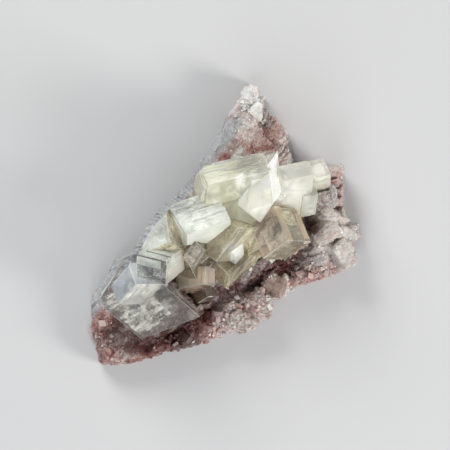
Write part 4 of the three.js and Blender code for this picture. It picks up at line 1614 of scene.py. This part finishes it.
    def build(self, effects: Effects) -> bpy.types.Object:
        """Makes the rock's closed surface: the rings, a middle point on top and one at the back.

        Args:
            effects: the shared shader groups.

        Returns:
            The piece.
        """
        p, _, relief = self.surface()
        rings, spokes = p.shape[:2]
        top = p[0].mean(0)
        back = np.array([p[-1, :, 0].mean(), p[-1, :, 1].mean(), 0.0])
        index = np.arange(rings * spokes).reshape(rings, spokes)
        right = np.roll(index, -1, 1)
        quads = np.stack([index[:-1], index[1:], right[1:], right[:-1]], -1).reshape(-1, 4)
        cap = np.stack([np.full(spokes, rings * spokes), index[0], right[0]], -1)
        foot = np.stack([right[-1], index[-1], np.full(spokes, rings * spokes + 1)], -1)
        points = np.concatenate([p.reshape(-1, 3), top[None], back[None]])
        mesh = new_mesh("rock_body", points, np.concatenate([
            np.concatenate([quads[:, :3], quads[:, [0, 2, 3]]]), cap, foot]))
        hollow = np.append(1 - smoothstep(relief.ravel(), -0.5, 0.6), [0.5, 0.5])
        finish = StoneFinish("stained_rock", 0.75, 1400.0, 0.5, 0.25)
        return keep_stone(mesh, self.colours(points, hollow), finish, effects, "host_rock")


@dataclass(frozen=True)
class Lump:
    """An angular lump of the rock: centre, half sizes, turns about X, Y and Z, and tone."""

    at: Triple
    half: Triple
    turn: Triple
    tone: Tone


LUMPS = (
    Lump((34.8, -1.5, 9.5), (6.0, 2.5, 3.6), (0, 8, -8), T.BONE),  # horn on the right
    Lump((30.5, -2, 11), (4.5, 3.6, 3.5), (0, 0, 30), T.CREAM),  # its foot
    Lump((35, -8.5, 8), (4.6, 5, 4.8), (10, 0, 20), T.BONE),  # white knob below it
    Lump((29, -6, 9.5), (3.6, 3, 3.5), (40, 0, 60), T.CREAM),  # cream lump beside the horn
    Lump((9.5, -23, 8.5), (4.6, 5, 4.6), (12, 0, 15), T.PINK),  # pink lump on the lower rim
    Lump((4.3, -28.3, 7.5), (4.8, 3.4, 4.2), (0, 10, -15), T.GREY),  # grey lump next to it
    Lump((-7.5, -31, 7.5), (4, 3.2, 4), (0, 0, 35), T.PINK),  # grey lump on the lower rim
    Lump((-20, -36, 6.5), (4.5, 2.8, 4), (0, 0, 15), T.ROSE),  # low lump farther left
    Lump((13.5, -14.8, 8), (2.2, 2.4, 4), (20, 0, 30), T.GREY),  # grey quartz in the crevice
    Lump((29.6, 9, 12.2), (4.6, 4.6, 5.5), (0, 15, 10), T.GREY),  # grey quartz on the right
    Lump((32, 2.4, 11.2), (5.5, 2.6, 3.6), (0, 12, -16), T.CREAM),  # ridge above the cavity
    Lump((15, 27, 7), (3.8, 3.2, 4.5), (0, 0, 40), T.PINK),  # nub beside the summit
    Lump((9, 34, 8), (3.2, 2.6, 4), (0, 20, 60), T.WHITE),  # step below the summit
    Lump((7.5, 38.5, 6.5), (3, 3.8, 5), (0, 0, 0), T.WHITE),  # summit
    Lump((-33.5, -36, 6), (4.4, 4, 4.5), (0, 0, 25), T.BROWN),  # lower left corner
    Lump((-28, -37, 6), (4, 3, 4), (30, 0, 70), T.BROWN),  # lump beside that corner
)


SPREAD = 0.785  # half the angle of a cube's side, so that its grid lies evenly over a ball


@dataclass
class RockLumps:
    """The angular lumps, as balls pressed in by planes, with crystal tips all over them."""

    rock: HostRock
    lines: int = 32
    planes: int = 14
    tips: tuple[float, float] = (1.1, 33.0)
    lowest: float = 0.3
    below_crystals: float = 0.5
    own_share: float = 0.55

    def ball(self, lump: Lump, seed: float) -> np.ndarray:
        """One lump: each direction ends at the nearest of the planes that cut it, then noise is added.

        Args:
            lump: its place, size, turns and tone.
            seed: number that sets its planes.

        Returns:
            Its vertices, one a row.
        """
        nearest, farther, glancing = 0.72, 0.3, 0.02
        place, _ = shell_grid(self.lines)
        d = unit(np.tan((2 * place / (self.lines - 1) - 1) * SPREAD))
        first = np.arange(self.planes) + seed * 9
        n = unit(np.stack([scatter(first + k) - 0.5 for k in (0.1, 0.4, 0.7)], -1))
        n = np.concatenate([n, np.eye(3), -np.eye(3)])
        distance = nearest + farther * scatter(np.arange(len(n)) * 1.7 + seed)
        radius = np.min(distance / np.maximum(d @ n.T, glancing), axis=1)
        turn = about(0, lump.turn[0]) @ about(1, lump.turn[1]) @ about(2, lump.turn[2])
        p = np.array(lump.at) + (d * radius[:, None] * np.array(lump.half)) @ turn.T
        worn = 0.5 if lump.tone in SMOOTH else 1.0
        grain = 0.5 * rough_noise(p, 2.2, 3.0, 4) + worn * (0.35 * facets(p, *self.tips) - 0.15)
        p = p + unit(d @ turn.T) * grain[:, None]
        most = np.maximum(crystal_top(p[:, 0], p[:, 1]) - self.below_crystals, self.lowest)
        p[:, 2] = np.clip(p[:, 2], self.lowest, most)
        return p

    def balls(self) -> np.ndarray:
        """All lumps as an array of lump, vertex and axis."""
        return np.array([self.ball(lump, 1.0 + number) for number, lump in enumerate(LUMPS)])

    def ground(self) -> Ground:
        """The lumps' surfaces, thinly on the smooth lumps, for small crystals to stand on.

        Returns:
            Their places, with less area where fewer small crystals stand.
        """
        share_of_size, on_smooth, least_height = 9, 0.3, 4
        balls = self.balls()
        away = unit(balls - np.array([lump.at for lump in LUMPS])[:, None])
        size = np.array([np.prod(lump.half) ** (2 / 3) for lump in LUMPS])
        area = np.broadcast_to(size[:, None] / balls.shape[1] * share_of_size, balls.shape[:2]).copy()
        smooth = np.array([on_smooth if lump.tone in SMOOTH else 1.0 for lump in LUMPS])
        area *= smooth[:, None] * (balls[..., 2] > least_height)
        return Ground(balls.reshape(-1, 3), away.reshape(-1, 3), area.ravel())

    def build(self, effects: Effects) -> bpy.types.Object:
        """Makes all lumps as one piece, coloured partly like the rock and partly by their own tones.

        Args:
            effects: the shared shader groups.

        Returns:
            The piece.
        """
        balls = self.balls()
        points, quads = repeated(balls, shell_grid(self.lines)[1])
        own = np.repeat([lump.tone.value for lump in LUMPS], balls.shape[1], axis=0)
        worn = np.repeat([0.15 if lump.tone in SMOOTH else 1.0 for lump in LUMPS], balls.shape[1])
        hollow = worn * (1 - smoothstep(facets(points, *self.tips), 0.1, 0.6))
        # The lumps' own tones darken in their hollows: painted shade.
        tint = ((1 - self.own_share) * self.rock.colours(points, hollow)
                + self.own_share * own * (1 - 0.35 * hollow[:, None]))
        # Red bands: iron stain with painted shade.
        tint = blend(tint, 0.85 * self.rock.red_stain_and_shade(points), T.DARK_RED.value)
        finish = StoneFinish("lump_rock", 0.6, 1500.0, 0.5, 0.2, 0.1)
        return keep_stone(new_mesh("rock_lumps", points, quads), tint, finish, effects)


@dataclass
class Ledges:
    """The stacked plates at the right-hand edge, each leaning a little more or less than its neighbours."""

    rock: HostRock
    count: int = 5
    at: Triple = (32.2, 15.6, 9.5)
    step: Triple = (0.1, -2.9, -0.3)
    size: Triple = (6, 2.2, 5)
    turn: Triple = (8, -12, 6)
    uneven: float = 1.6
    more_lean: float = 14
    more_spin: float = 12
    tips: tuple[float, float] = (0.9, 73.0)
    lines: int = 24

    def plate(self, number: int) -> np.ndarray:
        """One plate: a box over a grid, turned and set in its row, with rough faces.

        Args:
            number: its place in the row.

        Returns:
            Its vertices, one a row.
        """
        place, _ = shell_grid(self.lines)
        p = (place / (self.lines - 1) - 0.5) * np.array(self.size)
        lean = self.turn[0] + self.more_lean * scatter(number)
        spin = self.turn[2] + self.more_spin * scatter(number + 0.5)
        p = p @ about(0, lean).T @ about(1, self.turn[1]).T @ about(2, spin).T
        shift = np.array([self.at[axis] + number * self.step[axis]
                          + self.uneven * (scatter(number + axis / 3) - 0.5) for axis in range(3)])
        p = p + shift
        rough = 0.3 * rough_noise(p, 1.8, 71.0) + 0.3 * facets(p, *self.tips) - 0.3
        return p + unit(p - shift) * rough[:, None]

    def build(self, effects: Effects) -> bpy.types.Object:
        """Makes all plates as one piece.

        Args:
            effects: the shared shader groups.

        Returns:
            The piece.
        """
        plates = np.array([self.plate(number) for number in range(self.count)])
        points, quads = repeated(plates, shell_grid(self.lines)[1])
        hollow = 0.5 * (1 - smoothstep(facets(points, *self.tips), 0.1, 0.6))
        finish = StoneFinish("ledge_rock", 0.55, 1500.0, 0.5, 0.35, 0.1)
        return keep_stone(new_mesh("rock_ledges", points, quads), self.rock.colours(points, hollow),
                          finish, effects)


SHORTEST, LONGER = 0.6, 0.9  # least edge of a small crystal and the scatter above it, as shares of its size


@dataclass
class CoarseDruse:
    """The coat of small rhombs over the top of the rock, each sunk to about its middle."""

    rock: HostRock
    pitch: float = 2.3
    size: float = 1.35
    rim: float = 0.96
    margin: float = 0.25
    reach: float = 45
    jitter: float = 0.6
    sunk: float = 0.3
    edge_radius: float = 0.15

    def build(self, effects: Effects) -> bpy.types.Object:
        """Makes the coat: a jittered grid of places, a scattered rhomb on each that the rock bears.

        Args:
            effects: the shared shader groups.

        Returns:
            The piece.
        """
        across = int(np.ceil(2 * self.reach / self.pitch))
        row, column = (grid.ravel() for grid in np.mgrid[0:across, 0:across])
        seed = row * across + column
        x = -self.reach + self.pitch * (column + 0.5 * (row % 2) + self.jitter * (scatter(seed) - 0.5))
        y = -self.reach + self.pitch * (row + self.jitter * (scatter(seed + 0.3) - 0.5))
        angle = np.arctan2(y, x)
        share = np.hypot(x, y) / self.rock.reach(angle)
        blocky = self.rock.coarseness(np.stack([x, y], -1)) > 0.25 + 0.75 * scatter(seed + 0.8)
        shown = (share < self.rim - self.margin * self.rock.broken(angle)) & blocky
        x, y, seed, share, angle = (v[shown] for v in (x, y, seed, share, angle))
        edge = self.size * (0.6 + 0.8 * scatter(seed + 0.7) ** 1.5)
        z = np.minimum(self.rock.height(x, y, share, angle), crystal_top(x, y) - edge)
        at = np.stack([x, y, z - self.sunk * edge], -1)
        uneven = np.stack([scatter(seed + k) for k in (0.11, 0.13, 0.17)], -1)
        edges = edge[:, None] * (SHORTEST + LONGER * uneven)
        turn = rotations(70 * scatter(seed + 0.9), 360 * scatter(seed + 0.2), 120 * scatter(seed + 0.4))
        boxes = rounded_boxes(-edges / 2, edges / 2, np.full(len(edge), self.edge_radius))
        points, quads = repeated(at[:, None] + boxes @ (EDGES @ turn.transpose(0, 2, 1)),
                                 shell_grid(4)[1][:, ::-1])
        tint = self.rock.coat_tint(at, points, 0.1 + 0.6 * scatter(seed + 0.15) ** 2, edge)
        finish = StoneFinish("coarse_druse", 0.4, 1200.0, 0.3, 0.15, 0.08)
        return keep_stone(new_mesh("coarse_druse", points, quads), tint, finish, effects)


@dataclass
class FineDruse:
    """Thousands of tiny rhombs that stand on the rock's rough surface."""

    rock: HostRock
    name: str
    count: int
    small: float
    large: float
    seed: int
    clean: float
    coarse: float = 0.0
    sunk: float = 0.25
    tilted: float = 0.45

    def build(self, grounds: list[Ground], effects: Effects) -> bpy.types.Object:
        """Makes the coat: surface places drawn by area, a rhomb leaning out of the rock on each.

        Args:
            grounds: the surfaces that it stands on.
            effects: the shared shader groups.

        Returns:
            The piece.
        """
        p, normal, area = (np.concatenate([getattr(ground, key) for ground in grounds])
                           for key in ("points", "normals", "areas"))
        area = area * (1 - self.coarse + self.coarse * self.rock.coarseness(p) ** 2)
        area *= p[:, 2] + self.large < crystal_top(p[:, 0], p[:, 1])
        draw = np.random.default_rng(self.seed)
        chosen = draw.choice(area.size, self.count, replace=False, p=area / area.sum())
        at = p[chosen]
        out = unit(normal[chosen] + self.tilted * draw.normal(size=(self.count, 3)) * [1, 1, 0.6])
        edge = self.small * (self.large / self.small) ** (draw.random(self.count) ** 1.6)
        lean = np.degrees(np.arccos(np.clip(out[:, 2], -1, 1)))
        turn = rotations(lean, np.degrees(np.arctan2(out[:, 1], out[:, 0])), 360 * draw.random(self.count))
        stretch = SHORTEST + LONGER * draw.random((self.count, 3))
        half = EDGES[None] * (edge[:, None] * stretch)[..., None] / 2
        place, quads = shell_grid(2)
        centre = at - out * (edge * self.sunk)[:, None]
        points, quads = repeated(centre[:, None] + (2.0 * place - 1) @ (half @ turn.transpose(0, 2, 1)),
                                 quads[:, ::-1])
        tint = self.rock.coat_tint(centre, points, self.clean * draw.random(self.count) ** 1.5, edge)
        finish = StoneFinish(self.name, 0.4, 1600.0, 0.15, 0.1, 0.2)
        return keep_stone(new_mesh(self.name, points, quads), tint, finish, effects)


# ---- stage ----------------------------------------------------------------------------------------


@dataclass
class Stage:
    """Pale floor, soft lights and the camera straight above."""

    view_width: float = 0.135
    camera_height: float = 1.5
    sensor: float = 36.0

    def floor(self) -> None:
        """A large flat pale sheet just below the specimen."""
        half, level = 1500.0, -0.05
        corners = [(x, y, level) for x, y in ((-half, -half), (half, -half), (half, half), (-half, half))]
        mesh = new_mesh("floor", np.array(corners), np.array([[0, 1, 2, 3]]))
        material = bpy.data.materials.new("pale_floor")
        material.use_nodes = True
        skin = material.node_tree.nodes["Principled BSDF"]
        skin.inputs["Base Color"].default_value = (0.5, 0.5, 0.5, 1)
        skin.inputs["Roughness"].default_value = 0.8
        mesh.materials.append(material)
        new_object(mesh)

    def lamp(self, name: str, at: Triple, size: float, power: float, colour: Triple) -> None:
        """A square area lamp that looks at the specimen.

        Args:
            name: its name.
            at: its place in metres.
            size: its edge in metres.
            power: its power in watts.
            colour: its colour.
        """
        data = bpy.data.lights.new(name, "AREA")
        data.size, data.energy, data.color = size, power, colour
        lamp = bpy.data.objects.new(name, data)
        bpy.context.scene.collection.objects.link(lamp)
        lamp.location = at
        lamp.rotation_mode = "QUATERNION"
        lamp.rotation_quaternion = (-lamp.location).to_track_quat("-Z", "Y")

    def camera(self) -> None:
        """A long lens that looks straight down, with +Y up in the picture."""
        data = bpy.data.cameras.new("camera")
        data.sensor_width = self.sensor
        data.lens = self.sensor * (self.camera_height - 0.015) / self.view_width
        data.clip_start, data.clip_end = 0.1, 10
        camera = bpy.data.objects.new("camera", data)
        bpy.context.scene.collection.objects.link(camera)
        camera.location = (0, 0, self.camera_height)
        bpy.context.scene.camera = camera

    def build(self) -> None:
        """Sets up the whole stage."""
        self.floor()
        self.lamp("key", (-0.45, 0.8, 0.65), 0.5, 10.0, (1.0, 0.99, 0.97))
        self.lamp("side", (0.85, -0.35, 0.45), 0.35, 8.5, (1.0, 0.98, 0.95))
        self.lamp("fill", (-0.2, -0.8, 0.9), 0.9, 8.0, (0.95, 0.97, 1.0))
        world = bpy.data.worlds.new("studio")
        world.use_nodes = True
        world.node_tree.nodes["Background"].inputs[0].default_value = (0.9, 0.93, 1.0, 1)
        world.node_tree.nodes["Background"].inputs[1].default_value = 0.32
        bpy.context.scene.world = world
        bpy.context.scene.view_settings.view_transform = "Standard"
        self.camera()


def main() -> None:
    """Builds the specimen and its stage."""
    logging.basicConfig(level=logging.INFO)
    effects = Effects()
    materials = {finish: finish.value.material(effects) for finish in Calcite}
    rock = HostRock()
    rock.build(effects)
    lumps = RockLumps(rock)
    lumps.build(effects)
    Ledges(rock).build(effects)
    CoarseDruse(rock).build(effects)
    grounds = [rock.ground(), lumps.ground()]
    FineDruse(rock, "sugar_druse", 16000, 0.25, 0.65, 7, 0.4).build(grounds, effects)
    FineDruse(rock, "sparse_druse", 2600, 0.6, 1.3, 8, 0.4, coarse=0.95).build(grounds, effects)
    for piece in PIECES:
        piece.build(materials)
    for sheets in INNER_SHEETS:
        sheets.build(effects)
    Stage().build()


if __name__ == "__main__":
    main()
